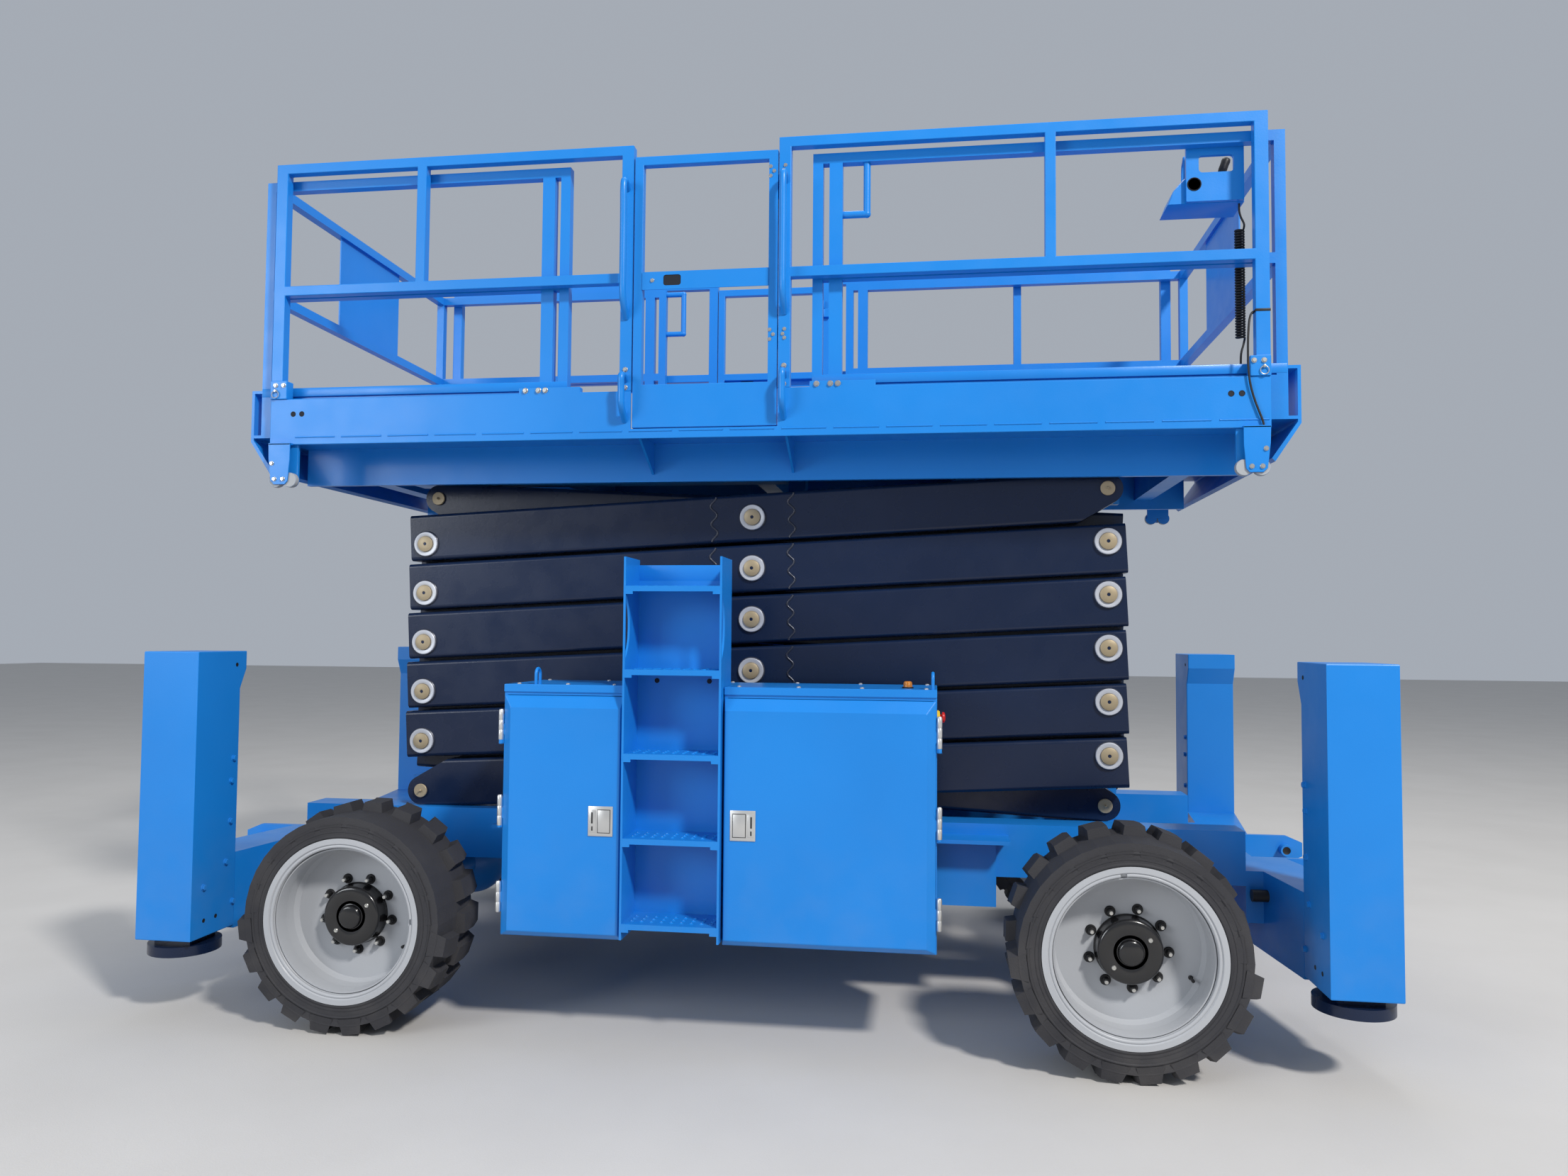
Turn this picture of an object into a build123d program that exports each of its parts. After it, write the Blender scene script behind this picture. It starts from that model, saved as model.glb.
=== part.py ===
from build123d import *

import os
from math import acos, asin, atan, atan2, cos, degrees, hypot, radians, sin, sqrt, tan

os.makedirs("parts", exist_ok=True)

# Rough-terrain scissor lift with four outriggers, in millimetres. +X is the steered front, +Y the far
# side, +Z up; the origin is on the ground under the middle of the machine.

# Wheels and axles
wheelbase = 2850
track = 2090
tyre_diameter = 838
tyre_width = 300
lug_depth = 36
lug_count = 20
lug_root = 64
lug_start = 8
lug_width = 91
lug_bend = 105
lug_lean = 18
lug_shift = 22
lug_draft = 10
sidewall_inset = 4
carcass_sides = 40
rim_radius = 292
rim_flange_height = 13.5
rim_flange_width = 14
flange_gap = 1
rim_lip = 6
rim_gutter = 22
rim_drop = 34
disc_inset = 46
dish_depth = 142
wheel_disc = 20
hub_radius = 110
hub_length = 62
hub_chamfer = 6
hub_boss = 10
axle_tube_radius = 70
axle_flange_radius = 100
axle_flange = 30
seat_inset = 15
spindle_gap = 0.5
kingpin_inset = 185
kingpin_radius = 55
kingpin_length = 240
yoke_plate = 30
yoke_gap = 10
differential_radius = 160

# Chassis
rail_inner = 415
rail_outer = 560
rail_bottom = 540
skirt_thickness = 40
skirt_half_length = 1000
skirt_bottom = 430
flange_height = 690
flange_thickness = 15
flange_lip = 50
belly_plate = 15
end_box_start = 1950
end_box_bottom = 400
tie_rise = 60
tie_drop = 15
brace_place = 700
brace_half = 50
brace_rise = 40

# Outriggers
outrigger_x = 2054
outrigger_width = 231
outrigger_face = 1157
outrigger_depth = 260
outrigger_hood = 38
outrigger_hood_height = 72
outrigger_hood_slope = 80
outrigger_bottom = 304
outrigger_top = 1412
outrigger_wall = 8
beam_bottom = 293
beam_top = 598
lug_plate_y = 260
lug_plate = 25
lug_plate_end = 2414
lug_plate_chamfer = 69
lug_plate_nose = 29
lug_plate_foot = 2280
lug_plate_tip = 90
beam_skew = 107
beam_root = 74
lug_plate_height = 150
lug_hole_radius = 25
lug_hole_place = 2335
lug_hole_drop = 60
leg_width = 150
leg_clearance = 0.3
pad_radius = 130
pad_bottom = 240
pad_thickness = 38
guide_height = 40
leg_top_gap = 100

# Scissor stack
stages = 6
arm_pin_length = 2900
stage_rise = 214
pin_height = 810
arm_height = 200
arm_width = 100
arm_corner = 16
arm_face = 521
arm_gap = 12
arm_overhang = 74
pin_offset = 30
pin_radius = 33.5
pin_end = 18
collar_radius = 52
collar_thickness = 10
running_clearance = 0.3
nose_radius = 61.5
nose_length = 160
nose_shoulder = 137
nose_shoulder_height = 150
nose_pin_radius = 28
nose_pin_end = 8
slide_gap = 0.5
ear_thickness = 45
ear_gap = 6
cross_tube_radius = 40
rear_tube_reach = 1100
front_tube_reach = 250

# Lift cylinders
barrel_radius = 75
barrel_length = 900
barrel_eye_radius = 78
barrel_eye_width = 120
rod_radius = 45
rod_pin_drop = 95
rod_eye_radius = 48
rod_eye_width = 96
rod_ear_thickness = 22
rod_ear_gap = 6
rod_tail = 1000
barrel_floor = 15

# Cabinets, doors and ladders
cabinet_rear = -838
cabinet_front = 768
cabinet_inner = 700
cabinet_face = 1100
cabinet_bottom = 375
cabinet_top = 1275
cabinet_wall = 12
bay_rear = -373
bay_front = 0
bay_depth = 140
door_thickness = 30
door_gap = 3
door_lip = 6.5
door_top_gap = 13
door_bevel_top = 44
door_bevel_hinge = 32
door_bevel_bottom = 20
door_bevel_latch = 5
lid_thickness = 28
lid_overhang = 6
door_hinge_out = 9
door_hinge_proud = 7
door_hinge_radius = 8
door_hinge_pin = 4.5
door_hinge_length = 110
door_hinge_knuckle = 40
door_hinge_leaf = 32
door_hinge_end = 140
hinge_play = 1
ladder_face = 1150
ladder_plate = 8
ladder_top = 1777
ladder_bottom = 388
ladder_steps = 5
first_step = 446
step_rise = 306
step_plate = 6
step_lip = 20
step_tab = 30
step_tab_width = 34
ladder_back_drop = 80
ladder_notch_start = 1690
ladder_notch_end = 1290
ladder_notch = 62
engine_length = 540
engine_width = 270
engine_height = 560
engine_gap = 40

# Platform
deck_half_length = 1975
deck_half_width = 868
fascia_plate = 12
fascia_drop = 39
fascia_rise = 151
floor_rise = 210
floor_plate = 12
deck_beam_y = 586
deck_beam_plate = 26
deck_beam_drop = 171
deck_cross_width = 80
deck_cross_gap = 20
deck_cross_places = (-0.9, -0.45, 0, 0.45, 0.9)
gusset_plate = 10
gusset_reach = 250
gusset_drop = 130
gusset_rear = -414
gusset_front = 179
roller_radius = 29
roller_width = 24
roller_rear = 1937
roller_front = 1875
roller_drop = 158
roller_bracket = 12
roller_bracket_edge = 22
rail_tube = 40
rail_height = 1143
mid_rail_height = 626
corner_post = 50
gate_rear = -431
gate_front = 148
gate_post = 48
gate_gap = 4
gate_drop = 47
gate_tube = 36
gate_sheet = 10
gate_toe_rise = 25
gate_hinge_inset = 16
gate_hinge_radius = 11
gate_hinge_pin = 6
gate_hinge_knuckle = 45
gate_hinge_lug = 38
gate_hinge_low = 265
gate_hinge_high = 130
short_post_rear = -1332
short_post_front = 1190
sleeve_width = 74
sleeve_rise = 75
sleeve_proud = 6
handle_radius = 14
handle_reach = 52
handle_high = 157
handle_mid = 195
handle_toe = 60
handle_low = 22
slide_bar_rise = 22
slide_bar_inner = 34
slide_bar_rear = -898
slide_bar_front = 277
slide_bar_length = 255

# Extension decks
extension_half_width = 815
extension_floor = 12
extension_gap = 0.4
extension_end = 2050
extension_toe_rise = 15
extension_rail_drop = 52
rear_extension_start = -715
front_extension_start = 280
apron_depth = 45
apron_plate = 12
apron_foot = 48
grip_post = 52
grip_post_gap = 65
grip_reach = 95
grip_radius = 14
grip_rise = 9
grip_height = 220
apron_drop = 117
apron_rise = 50
apron_knee_rise = 24
end_panel_half = 280
end_panel_plate = 6

# Control box
control_start = 1640
control_length = 280
control_width = 160
control_height = 100
control_drop = 245
control_plate = 20
control_inset = 40
control_slope = 60
control_toe = 20
control_lip = 50
cable_radius = 6
coil_radius = 20
cable_x = 1905
cable_inset = 40
coil_drop = 100
coil_length = 420

# How far pieces of one node run into each other so that they fuse
weld = 1
embed = 10

# Worked out from the sizes above
axle_height = tyre_diameter / 2
axle_x = wheelbase / 2
wheel_y = track / 2
half_arm = arm_pin_length / 2
rest_angle = asin(stage_rise / arm_pin_length)
pin_x = half_arm * cos(rest_angle)
arm_slope = atan((stage_rise - 2 * pin_offset) / (2 * pin_x))
inner_face = arm_face - arm_width - arm_gap
top_pin_height = pin_height + stages * stage_rise
rail_top_face = pin_height - nose_radius - slide_gap
floor_top = top_pin_height + floor_rise
fascia_bottom = floor_top - fascia_drop
fascia_top = floor_top + fascia_rise
rail_top = floor_top + rail_height
mid_rail_top = floor_top + mid_rail_height
gate_top = rail_top - gate_drop
extension_rail_top = rail_top - extension_rail_drop
extension_floor_bottom = floor_top + extension_gap
cylinder_stages = {"lower": 0, "upper": stages // 2}


def keep(piece, name):
    """Label a finished piece and write it."""
    piece.part.label = name
    export_step(piece.part, f"parts/{name}.step")


def slab(x, y, z, mode=Mode.ADD):
    """A block between two corners, as a low and a high value for each axis."""
    with Locations(((x[0] + x[1]) / 2, (y[0] + y[1]) / 2, (z[0] + z[1]) / 2)):
        Box(x[1] - x[0], y[1] - y[0], z[1] - z[0], mode=mode)


def outboard(side, near, far):
    """The Y range between two distances from the centre line, on one side of it."""
    return (near, far) if side > 0 else (-far, -near)


def crosswise(x, z, radius, y, mode=Mode.ADD):
    """A round bar along Y between two Y values."""
    with Locations((x, (y[0] + y[1]) / 2, z)):
        Cylinder(radius, y[1] - y[0], rotation=(90, 0, 0), mode=mode)


def bent_bar(points, radius):
    """A round bar along a line of points, with a slightly larger ball at each bend."""
    for start, stop in zip(points, points[1:]):
        run = Vector(stop) - Vector(start)
        with Locations(Plane(origin=start, z_dir=run.normalized())):
            Cylinder(radius, run.length, align=(Align.CENTER, Align.CENTER, Align.MIN))
    for point in points[1:-1]:
        with Locations(point):
            Sphere(radius + weld)


def node_height(step):
    """Height of a scissor pin, counted in stages from the bottom pins."""
    return pin_height + step * stage_rise


# Tyres: a many-sided carcass with two staggered rows of bent lugs with draft, made once and set at every
# corner. The lug corners just reach the tyre's radius, and one of them stands at the bottom.
corners = {"front_near": (1, -1), "front_far": (1, 1), "rear_near": (-1, -1), "rear_far": (-1, 1)}
bead = tyre_width / 2 - rim_flange_width
flange_radius = rim_radius + rim_flange_height
dish_floor = tyre_width / 2 - dish_depth
carcass_half = tyre_width / 2 - sidewall_inset
lug_foot = axle_height - lug_root
lug_inset = lug_root * tan(radians(lug_draft))
lug_reach = lug_width / 2 + lug_shift - lug_inset
lug_height = sqrt(axle_height**2 - lug_reach**2) - lug_foot
lug_pitch = 360 / lug_count
lug_phase = degrees(atan(lug_reach / (lug_foot + lug_height))) - 90
lug_outline = [
    (-lug_width / 2, tyre_width / 2),
    (lug_width / 2, tyre_width / 2),
    (lug_width / 2 - lug_lean, lug_bend),
    (lug_width / 2 - lug_shift, lug_start),
    (-lug_width / 2 - lug_shift, lug_start),
    (-lug_width / 2 - lug_lean, lug_bend),
]
with BuildPart() as tyre_form:
    with BuildSketch(Plane.XZ):
        RegularPolygon(axle_height - lug_depth, carcass_sides, major_radius=False)
    extrude(amount=carcass_half, both=True)
    for hand in (1, -1):
        for count in range(lug_count):
            turn = radians(lug_phase + (count + (hand - 1) / 4) * lug_pitch)
            outward = Vector(cos(turn), 0, sin(turn))
            lug_plane = Plane(origin=outward * lug_foot, x_dir=(-sin(turn), 0, cos(turn)), z_dir=outward)
            with BuildSketch(lug_plane):
                with BuildLine():
                    Polyline([(t, hand * u) for t, u in lug_outline], close=True)
                make_face()
    extrude(amount=lug_height, taper=lug_draft)
    with BuildSketch(Plane.XZ):
        RegularPolygon(rim_radius, carcass_sides, major_radius=False)
    extrude(amount=tyre_width, both=True, mode=Mode.SUBTRACT)
    for seat in (-tyre_width, bead):
        with BuildSketch(Plane.XZ.offset(seat)):
            RegularPolygon(flange_radius + flange_gap, carcass_sides, major_radius=False)
    extrude(amount=tyre_width - bead, mode=Mode.SUBTRACT)

# Tyres and wheels with their hubs: one of each at every corner
for corner, (end, side) in corners.items():
    centre = (end * axle_x, side * wheel_y)
    wheel_axis = Axis((centre[0], centre[1], axle_height), (0, 1, 0))
    wheel_outline = [
        (rim_radius, -bead),
        (rim_radius, bead),
        (flange_radius, bead),
        (flange_radius, tyre_width / 2 - flange_gap),
        (rim_radius - rim_lip, tyre_width / 2 - flange_gap),
        (rim_radius - rim_gutter, bead - rim_lip),
        (rim_radius - rim_drop, dish_floor + wheel_disc),
        (rim_radius - disc_inset, dish_floor),
        (hub_radius, dish_floor),
        (hub_radius, dish_floor + hub_length - hub_chamfer),
        (hub_radius - hub_chamfer, dish_floor + hub_length),
        (0, dish_floor + hub_length),
        (0, dish_floor - wheel_disc - hub_boss),
        (hub_radius, dish_floor - wheel_disc - hub_boss),
        (hub_radius, dish_floor - wheel_disc),
        (rim_radius - disc_inset, dish_floor - wheel_disc),
        (rim_radius - rim_gutter, -bead),
    ]
    with BuildPart() as tyre:
        with Locations((centre[0], centre[1], axle_height)):
            add(tyre_form.part if side < 0 else mirror(tyre_form.part, Plane.XZ, mode=Mode.PRIVATE))
    keep(tyre, f"tyre_{corner}")
    with BuildPart() as wheel:
        with BuildSketch(Plane.XY.offset(axle_height)):
            with BuildLine():
                Polyline([(centre[0] + r, centre[1] + side * t) for r, t in wheel_outline], close=True)
            make_face()
        revolve(axis=wheel_axis)
    keep(wheel, f"wheel_{corner}")

# Axles: a tube with its differential, seats under the chassis rails, and yokes or flanges at its ends
hub_back = wheel_y + dish_floor - wheel_disc - hub_boss
spindle_face = hub_back - spindle_gap
kingpin_y = wheel_y - kingpin_inset
yoke_inner = kingpin_y - kingpin_radius - yoke_gap
yoke_half = kingpin_length / 2 + spindle_gap
with BuildPart() as front_axle:
    crosswise(axle_x, axle_height, axle_tube_radius, (-yoke_inner, yoke_inner))
    with Locations((axle_x, 0, axle_height)):
        Sphere(differential_radius)
    for side in (-1, 1):
        seat = (axle_x - axle_tube_radius, axle_x + axle_tube_radius)
        seat_y = outboard(side, rail_inner + seat_inset, rail_outer - seat_inset)
        slab(seat, seat_y, (axle_height, rail_bottom))
        web = outboard(side, yoke_inner - yoke_plate, yoke_inner)
        fork = outboard(side, yoke_inner - yoke_plate, kingpin_y + kingpin_radius)
        slab(seat, web, (axle_height - yoke_half - yoke_plate, axle_height + yoke_half + yoke_plate))
        for low in (axle_height - yoke_half - yoke_plate, axle_height + yoke_half):
            slab((axle_x - kingpin_radius, axle_x + kingpin_radius), fork, (low, low + yoke_plate))
keep(front_axle, "front_axle")

with BuildPart() as rear_axle:
    crosswise(-axle_x, axle_height, axle_tube_radius, (-spindle_face, spindle_face))
    with Locations((-axle_x, 0, axle_height)):
        Sphere(differential_radius)
    for side in (-1, 1):
        seat = (-axle_x - axle_tube_radius, -axle_x + axle_tube_radius)
        seat_y = outboard(side, rail_inner + seat_inset, rail_outer - seat_inset)
        slab(seat, seat_y, (axle_height, rail_bottom))
        flange_y = outboard(side, spindle_face - axle_flange, spindle_face)
        crosswise(-axle_x, axle_height, axle_flange_radius, flange_y)
keep(rear_axle, "rear_axle")

for name, side in {"near": -1, "far": 1}.items():
    with BuildPart() as knuckle:
        with Locations((axle_x, side * kingpin_y, axle_height)):
            Cylinder(kingpin_radius, kingpin_length)
        flange_y = outboard(side, spindle_face - axle_flange, spindle_face)
        crosswise(axle_x, axle_height, axle_flange_radius, flange_y)
        crosswise(axle_x, axle_height, kingpin_radius, outboard(side, kingpin_y, spindle_face - embed))
    keep(knuckle, f"knuckle_{name}")

# Chassis: two box rails, a skirted middle with a flange, and the ears that carry the fixed ends of the
# lowest scissor arms
beam_end = outrigger_face - outrigger_depth
ear_outer = inner_face - arm_width - ear_gap
with BuildPart() as chassis_frame:
    belly_z = (skirt_bottom, skirt_bottom + belly_plate)
    slab((-skirt_half_length, skirt_half_length), (-rail_outer, rail_outer), belly_z)
    for side in (-1, 1):
        rail_y = outboard(side, rail_inner, rail_outer)
        slab((-end_box_start, end_box_start), rail_y, (rail_bottom, rail_top_face))
        skirt = outboard(side, rail_outer - weld, rail_outer + skirt_thickness)
        slab((-skirt_half_length, skirt_half_length), skirt, (skirt_bottom, flange_height))
        flange = outboard(side, rail_outer - weld, cabinet_inner)
        flange_z = (flange_height, flange_height + flange_thickness)
        slab((-skirt_half_length - flange_lip, skirt_half_length + flange_lip), flange, flange_z)
        ear_y = outboard(side, ear_outer - ear_thickness, ear_outer)
        ear_z = (rail_bottom + tie_rise, pin_height + nose_radius)
        slab((pin_x - nose_radius, pin_x + nose_radius), ear_y, ear_z)
        ear_pin = outboard(side, ear_outer - embed, inner_face + nose_pin_end)
        crosswise(pin_x, pin_height, nose_pin_radius, ear_pin)
    for end in (-1, 1):
        tie_x = (end * pin_x - nose_radius, end * pin_x + nose_radius)
        between_rails = (-rail_inner - weld, rail_inner + weld)
        slab(tie_x, between_rails, (rail_bottom + tie_rise, rail_top_face - tie_drop))
        brace_x = (end * brace_place - brace_half, end * brace_place + brace_half)
        slab(brace_x, between_rails, (skirt_bottom, rail_bottom + brace_rise))
keep(chassis_frame, "chassis_frame")

# Outrigger frames: a box across each chassis end with a beam to each outrigger and two lug plates
for name, end in {"rear": -1, "front": 1}.items():
    with BuildPart() as outrigger_frame:
        box_x = sorted((end * end_box_start, end * outrigger_x))
        slab(box_x, (-rail_outer, rail_outer), (end_box_bottom, beam_top))
        for side in (-1, 1):
            with BuildSketch(Plane.XY.offset(beam_bottom)):
                with BuildLine():
                    Polyline(
                        (end * outrigger_x, side * beam_end),
                        (end * (outrigger_x + outrigger_width), side * beam_end),
                        (end * (outrigger_x + outrigger_width - beam_skew), side * lug_plate_y),
                        (end * (outrigger_x - beam_root), side * lug_plate_y),
                        close=True,
                    )
                make_face()
        extrude(amount=beam_top - beam_bottom)
        lug_bottom = beam_top - lug_plate_height
        for side in (-1, 1):
            with BuildSketch(Plane.XZ.offset(-side * (lug_plate_y + lug_plate / 2))):
                with BuildLine():
                    Polyline(
                        (end * end_box_start, beam_top),
                        (end * (lug_plate_end - lug_plate_chamfer), beam_top),
                        (end * lug_plate_end, beam_top - lug_plate_nose),
                        (end * lug_plate_end, beam_top - lug_plate_tip),
                        (end * lug_plate_foot, lug_bottom),
                        (end * end_box_start, lug_bottom),
                        close=True,
                    )
                make_face()
        extrude(amount=lug_plate / 2, both=True)
        for side in (-1, 1):
            lug_y = outboard(side, lug_plate_y, lug_plate_y + lug_plate)
            lug_hole_z = beam_top - lug_hole_drop
            crosswise(end * lug_hole_place, lug_hole_z, lug_hole_radius, lug_y, Mode.SUBTRACT)
    keep(outrigger_frame, f"{name}_outrigger_frame")

# Outrigger housings: folded boxes with a hood on the inner side, open below, and a guide for the leg
leg_y = outrigger_face - outrigger_depth / 2
leg_x = outrigger_x + outrigger_width / 2
hood_face = beam_end - outrigger_hood
with BuildPart() as outrigger_housings:
    for end in (-1, 1):
        for side in (-1, 1):
            with BuildSketch(Plane.YZ.offset(end * leg_x)):
                with BuildLine():
                    Polyline(
                        (side * outrigger_face, outrigger_bottom),
                        (side * outrigger_face, outrigger_top),
                        (side * hood_face, outrigger_top),
                        (side * hood_face, outrigger_top - outrigger_hood_height),
                        (side * beam_end, outrigger_top - outrigger_hood_height - outrigger_hood_slope),
                        (side * beam_end, outrigger_bottom),
                        close=True,
                    )
                make_face()
            extrude(amount=outrigger_width / 2, both=True)
    for end in (-1, 1):
        for side in (-1, 1):
            hollow_half = outrigger_width / 2 - outrigger_wall
            hollow_x = (end * leg_x - hollow_half, end * leg_x + hollow_half)
            hollow_y = outboard(side, beam_end + outrigger_wall, outrigger_face - outrigger_wall)
            hollow_z = (outrigger_bottom + guide_height, outrigger_top - outrigger_wall)
            slab(hollow_x, hollow_y, hollow_z, Mode.SUBTRACT)
            sleeve = leg_width / 2 + leg_clearance
            sleeve_x = (end * leg_x - sleeve, end * leg_x + sleeve)
            sleeve_y = outboard(side, leg_y - sleeve, leg_y + sleeve)
            sleeve_z = (outrigger_bottom - weld, outrigger_bottom + guide_height + weld)
            slab(sleeve_x, sleeve_y, sleeve_z, Mode.SUBTRACT)
keep(outrigger_housings, "outrigger_housings")

for corner, (end, side) in corners.items():
    with BuildPart() as leg:
        leg_half = leg_width / 2
        leg_span = (end * leg_x - leg_half, end * leg_x + leg_half)
        leg_z = (pad_bottom, outrigger_top - leg_top_gap)
        slab(leg_span, outboard(side, leg_y - leg_half, leg_y + leg_half), leg_z)
        with Locations((end * leg_x, side * leg_y, pad_bottom + pad_thickness / 2)):
            Cylinder(pad_radius, pad_thickness)
    keep(leg, f"outrigger_leg_{corner}")

# Cabinets: hollow boxes on both sides with a ladder bay between two door openings, and the hinge pins of
# the doors at their outer ends
door_hinge_middle = (cabinet_bottom + cabinet_top) / 2
door_hinge_heights = (cabinet_bottom + door_hinge_end, door_hinge_middle, cabinet_top - door_hinge_end)
for name, side in {"near": -1, "far": 1}.items():
    bay_back = cabinet_face - bay_depth
    rooms = [
        (cabinet_rear + cabinet_wall, bay_rear - cabinet_wall),
        (bay_front + cabinet_wall, cabinet_front - cabinet_wall),
    ]
    with BuildPart() as cabinet:
        cabinet_y = outboard(side, cabinet_inner, cabinet_face)
        slab((cabinet_rear, cabinet_front), cabinet_y, (cabinet_bottom, cabinet_top))
        inside = (cabinet_bottom + cabinet_wall, cabinet_top - cabinet_wall)
        for room in rooms:
            room_y = outboard(side, cabinet_inner + cabinet_wall, cabinet_face + weld)
            slab(room, room_y, inside, Mode.SUBTRACT)
        behind_bay = outboard(side, cabinet_inner + cabinet_wall, bay_back - cabinet_wall)
        passage = (bay_rear - cabinet_wall - weld, bay_front + cabinet_wall + weld)
        slab(passage, behind_bay, inside, Mode.SUBTRACT)
        bay = outboard(side, bay_back, cabinet_face + weld)
        slab((bay_rear, bay_front), bay, (cabinet_bottom - weld, cabinet_top + weld), Mode.SUBTRACT)
        lid_z = (cabinet_top - weld, cabinet_top + lid_thickness)
        slab((cabinet_rear, cabinet_front), outboard(side, cabinet_inner, bay_back - cabinet_wall), lid_z)
        for room in ((cabinet_rear, bay_rear), (bay_front, cabinet_front)):
            lid_y = outboard(side, bay_back - cabinet_wall - weld, cabinet_face + lid_overhang)
            slab(room, lid_y, lid_z)
        hinge_y = side * (cabinet_face + door_hinge_proud)
        for end, wall in ((-1, cabinet_rear), (1, cabinet_front)):
            hinge_x = wall + end * door_hinge_out
            leaf_x = sorted((wall - end * weld, hinge_x))
            leaf_y = outboard(side, cabinet_face - door_hinge_leaf, cabinet_face + door_hinge_proud)
            for height in door_hinge_heights:
                with Locations((hinge_x, hinge_y, height)):
                    Cylinder(door_hinge_pin, door_hinge_length)
                knuckle_low = (height - door_hinge_length / 2, height - door_hinge_knuckle / 2)
                knuckle_high = (height + door_hinge_knuckle / 2, height + door_hinge_length / 2)
                for knuckle_z in (knuckle_low, knuckle_high):
                    slab(leaf_x, leaf_y, knuckle_z)
                    with Locations((hinge_x, hinge_y, (knuckle_z[0] + knuckle_z[1]) / 2)):
                        Cylinder(door_hinge_radius, knuckle_z[1] - knuckle_z[0])
    keep(cabinet, f"cabinet_{name}")
    doors = {"rear": (cabinet_rear, bay_rear), "front": (bay_front, cabinet_front)}
    for place, (start, stop) in doors.items():
        wall, end = (cabinet_rear, -1) if place == "rear" else (cabinet_front, 1)
        hinge_x = wall + end * door_hinge_out
        with BuildPart() as door:
            door_x = (start + door_gap, stop - door_gap)
            door_z = (cabinet_bottom + door_gap, cabinet_top - door_top_gap)
            lip_y = outboard(side, cabinet_face + spindle_gap, cabinet_face + door_lip)
            slab(door_x, lip_y, door_z)
            low_bevel, high_bevel = (
                (door_bevel_hinge, door_bevel_latch) if end < 0 else (door_bevel_latch, door_bevel_hinge)
            )
            skin_x = (door_x[0] + low_bevel, door_x[1] - high_bevel)
            skin_z = (door_z[0] + door_bevel_bottom, door_z[1] - door_bevel_top)
            layers = ((door_lip, door_x, door_z), (door_thickness, skin_x, skin_z))
            for proud, across, upright in layers:
                with BuildSketch(Plane.XZ.offset(-side * (cabinet_face + proud))):
                    with Locations(((across[0] + across[1]) / 2, (upright[0] + upright[1]) / 2)):
                        Rectangle(across[1] - across[0], upright[1] - upright[0])
            loft()
            lug_x = sorted((wall - end * (door_gap + embed), hinge_x))
            lug_y = outboard(side, cabinet_face + spindle_gap, cabinet_face + door_hinge_proud)
            for height in door_hinge_heights:
                half = door_hinge_knuckle / 2 - hinge_play
                slab(lug_x, lug_y, (height - half, height + half))
                with Locations((hinge_x, hinge_y, height)):
                    Cylinder(door_hinge_radius, 2 * half)
                    Cylinder(door_hinge_pin + running_clearance, door_hinge_length, mode=Mode.SUBTRACT)
        keep(door, f"door_{name}_{place}")

with BuildPart() as ladders:
    for side in (-1, 1):
        bay_back = cabinet_face - bay_depth
        rear_plate = (bay_rear + door_gap, bay_rear + door_gap + ladder_plate)
        front_plate = (bay_front - door_gap - ladder_plate, bay_front - door_gap)
        for plate in (rear_plate, front_plate):
            with BuildSketch(Plane.YZ.offset((plate[0] + plate[1]) / 2)):
                with BuildLine():
                    Polyline(
                        (side * bay_back, ladder_bottom),
                        (side * ladder_face, ladder_bottom),
                        (side * ladder_face, ladder_notch_end),
                        (side * (ladder_face - ladder_notch), ladder_notch_end + ladder_notch),
                        (side * (ladder_face - ladder_notch), ladder_notch_start - ladder_notch),
                        (side * ladder_face, ladder_notch_start),
                        (side * ladder_face, ladder_top),
                        (side * bay_back, ladder_top),
                        close=True,
                    )
                make_face()
            extrude(amount=ladder_plate / 2, both=True)
        tread_x = (rear_plate[0], front_plate[1])
        back_y = outboard(side, bay_back, bay_back + ladder_plate)
        slab(tread_x, back_y, (ladder_bottom, ladder_top - ladder_back_drop))
        for step in range(ladder_steps):
            height = first_step + step * step_rise
            slab(tread_x, outboard(side, bay_back, ladder_face), (height - step_plate, height))
            lip = outboard(side, ladder_face - step_plate, ladder_face)
            slab(tread_x, lip, (height - step_lip, height))
            slab((tread_x[0], tread_x[0] + step_tab_width), lip, (height - step_tab, height))
            slab((tread_x[1] - step_tab_width, tread_x[1]), lip, (height - step_tab, height))
keep(ladders, "ladders")

engine_x = (bay_front + cabinet_front - engine_length) / 2
engine_y = cabinet_inner + cabinet_wall + engine_gap
with BuildPart() as engine_block:
    engine_bottom = cabinet_bottom + cabinet_wall
    engine_z = (engine_bottom, engine_bottom + engine_height)
    slab((engine_x, engine_x + engine_length), (-engine_y - engine_width, -engine_y), engine_z)
keep(engine_block, "engine_block")

# Scissor arms: rounded box tubes in pairs. The outer pair of a stage rises to the front and carries the
# pins and collars; the inner pair rises to the rear, turns on those pins and is tied by cross tubes.
# The tubes lie flatter than the lines between their pins, so each end pin sits off the tube's middle.
# The bottom and top pairs end in round noses, cut by the outline below and filled by a disc.
tube_half = pin_x / cos(arm_slope) + arm_overhang
pin_reach = arm_face + pin_end
pairs = {"outer": (1, arm_face), "inner": (-1, inner_face)}
shoulder_angle = atan2(nose_shoulder_height, -nose_shoulder)
shoulder_angle -= acos(nose_radius / hypot(nose_shoulder, nose_shoulder_height))
nose_outline = [
    (-nose_length, -2 * arm_height),
    (-nose_length, -nose_radius),
    (0, -nose_radius),
    (0, 0),
    (nose_radius * cos(shoulder_angle), nose_radius * sin(shoulder_angle)),
    (-nose_shoulder, nose_shoulder_height),
    (-nose_shoulder, 2 * arm_height),
    (2 * arm_height, 2 * arm_height),
    (2 * arm_height, -2 * arm_height),
]
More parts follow.
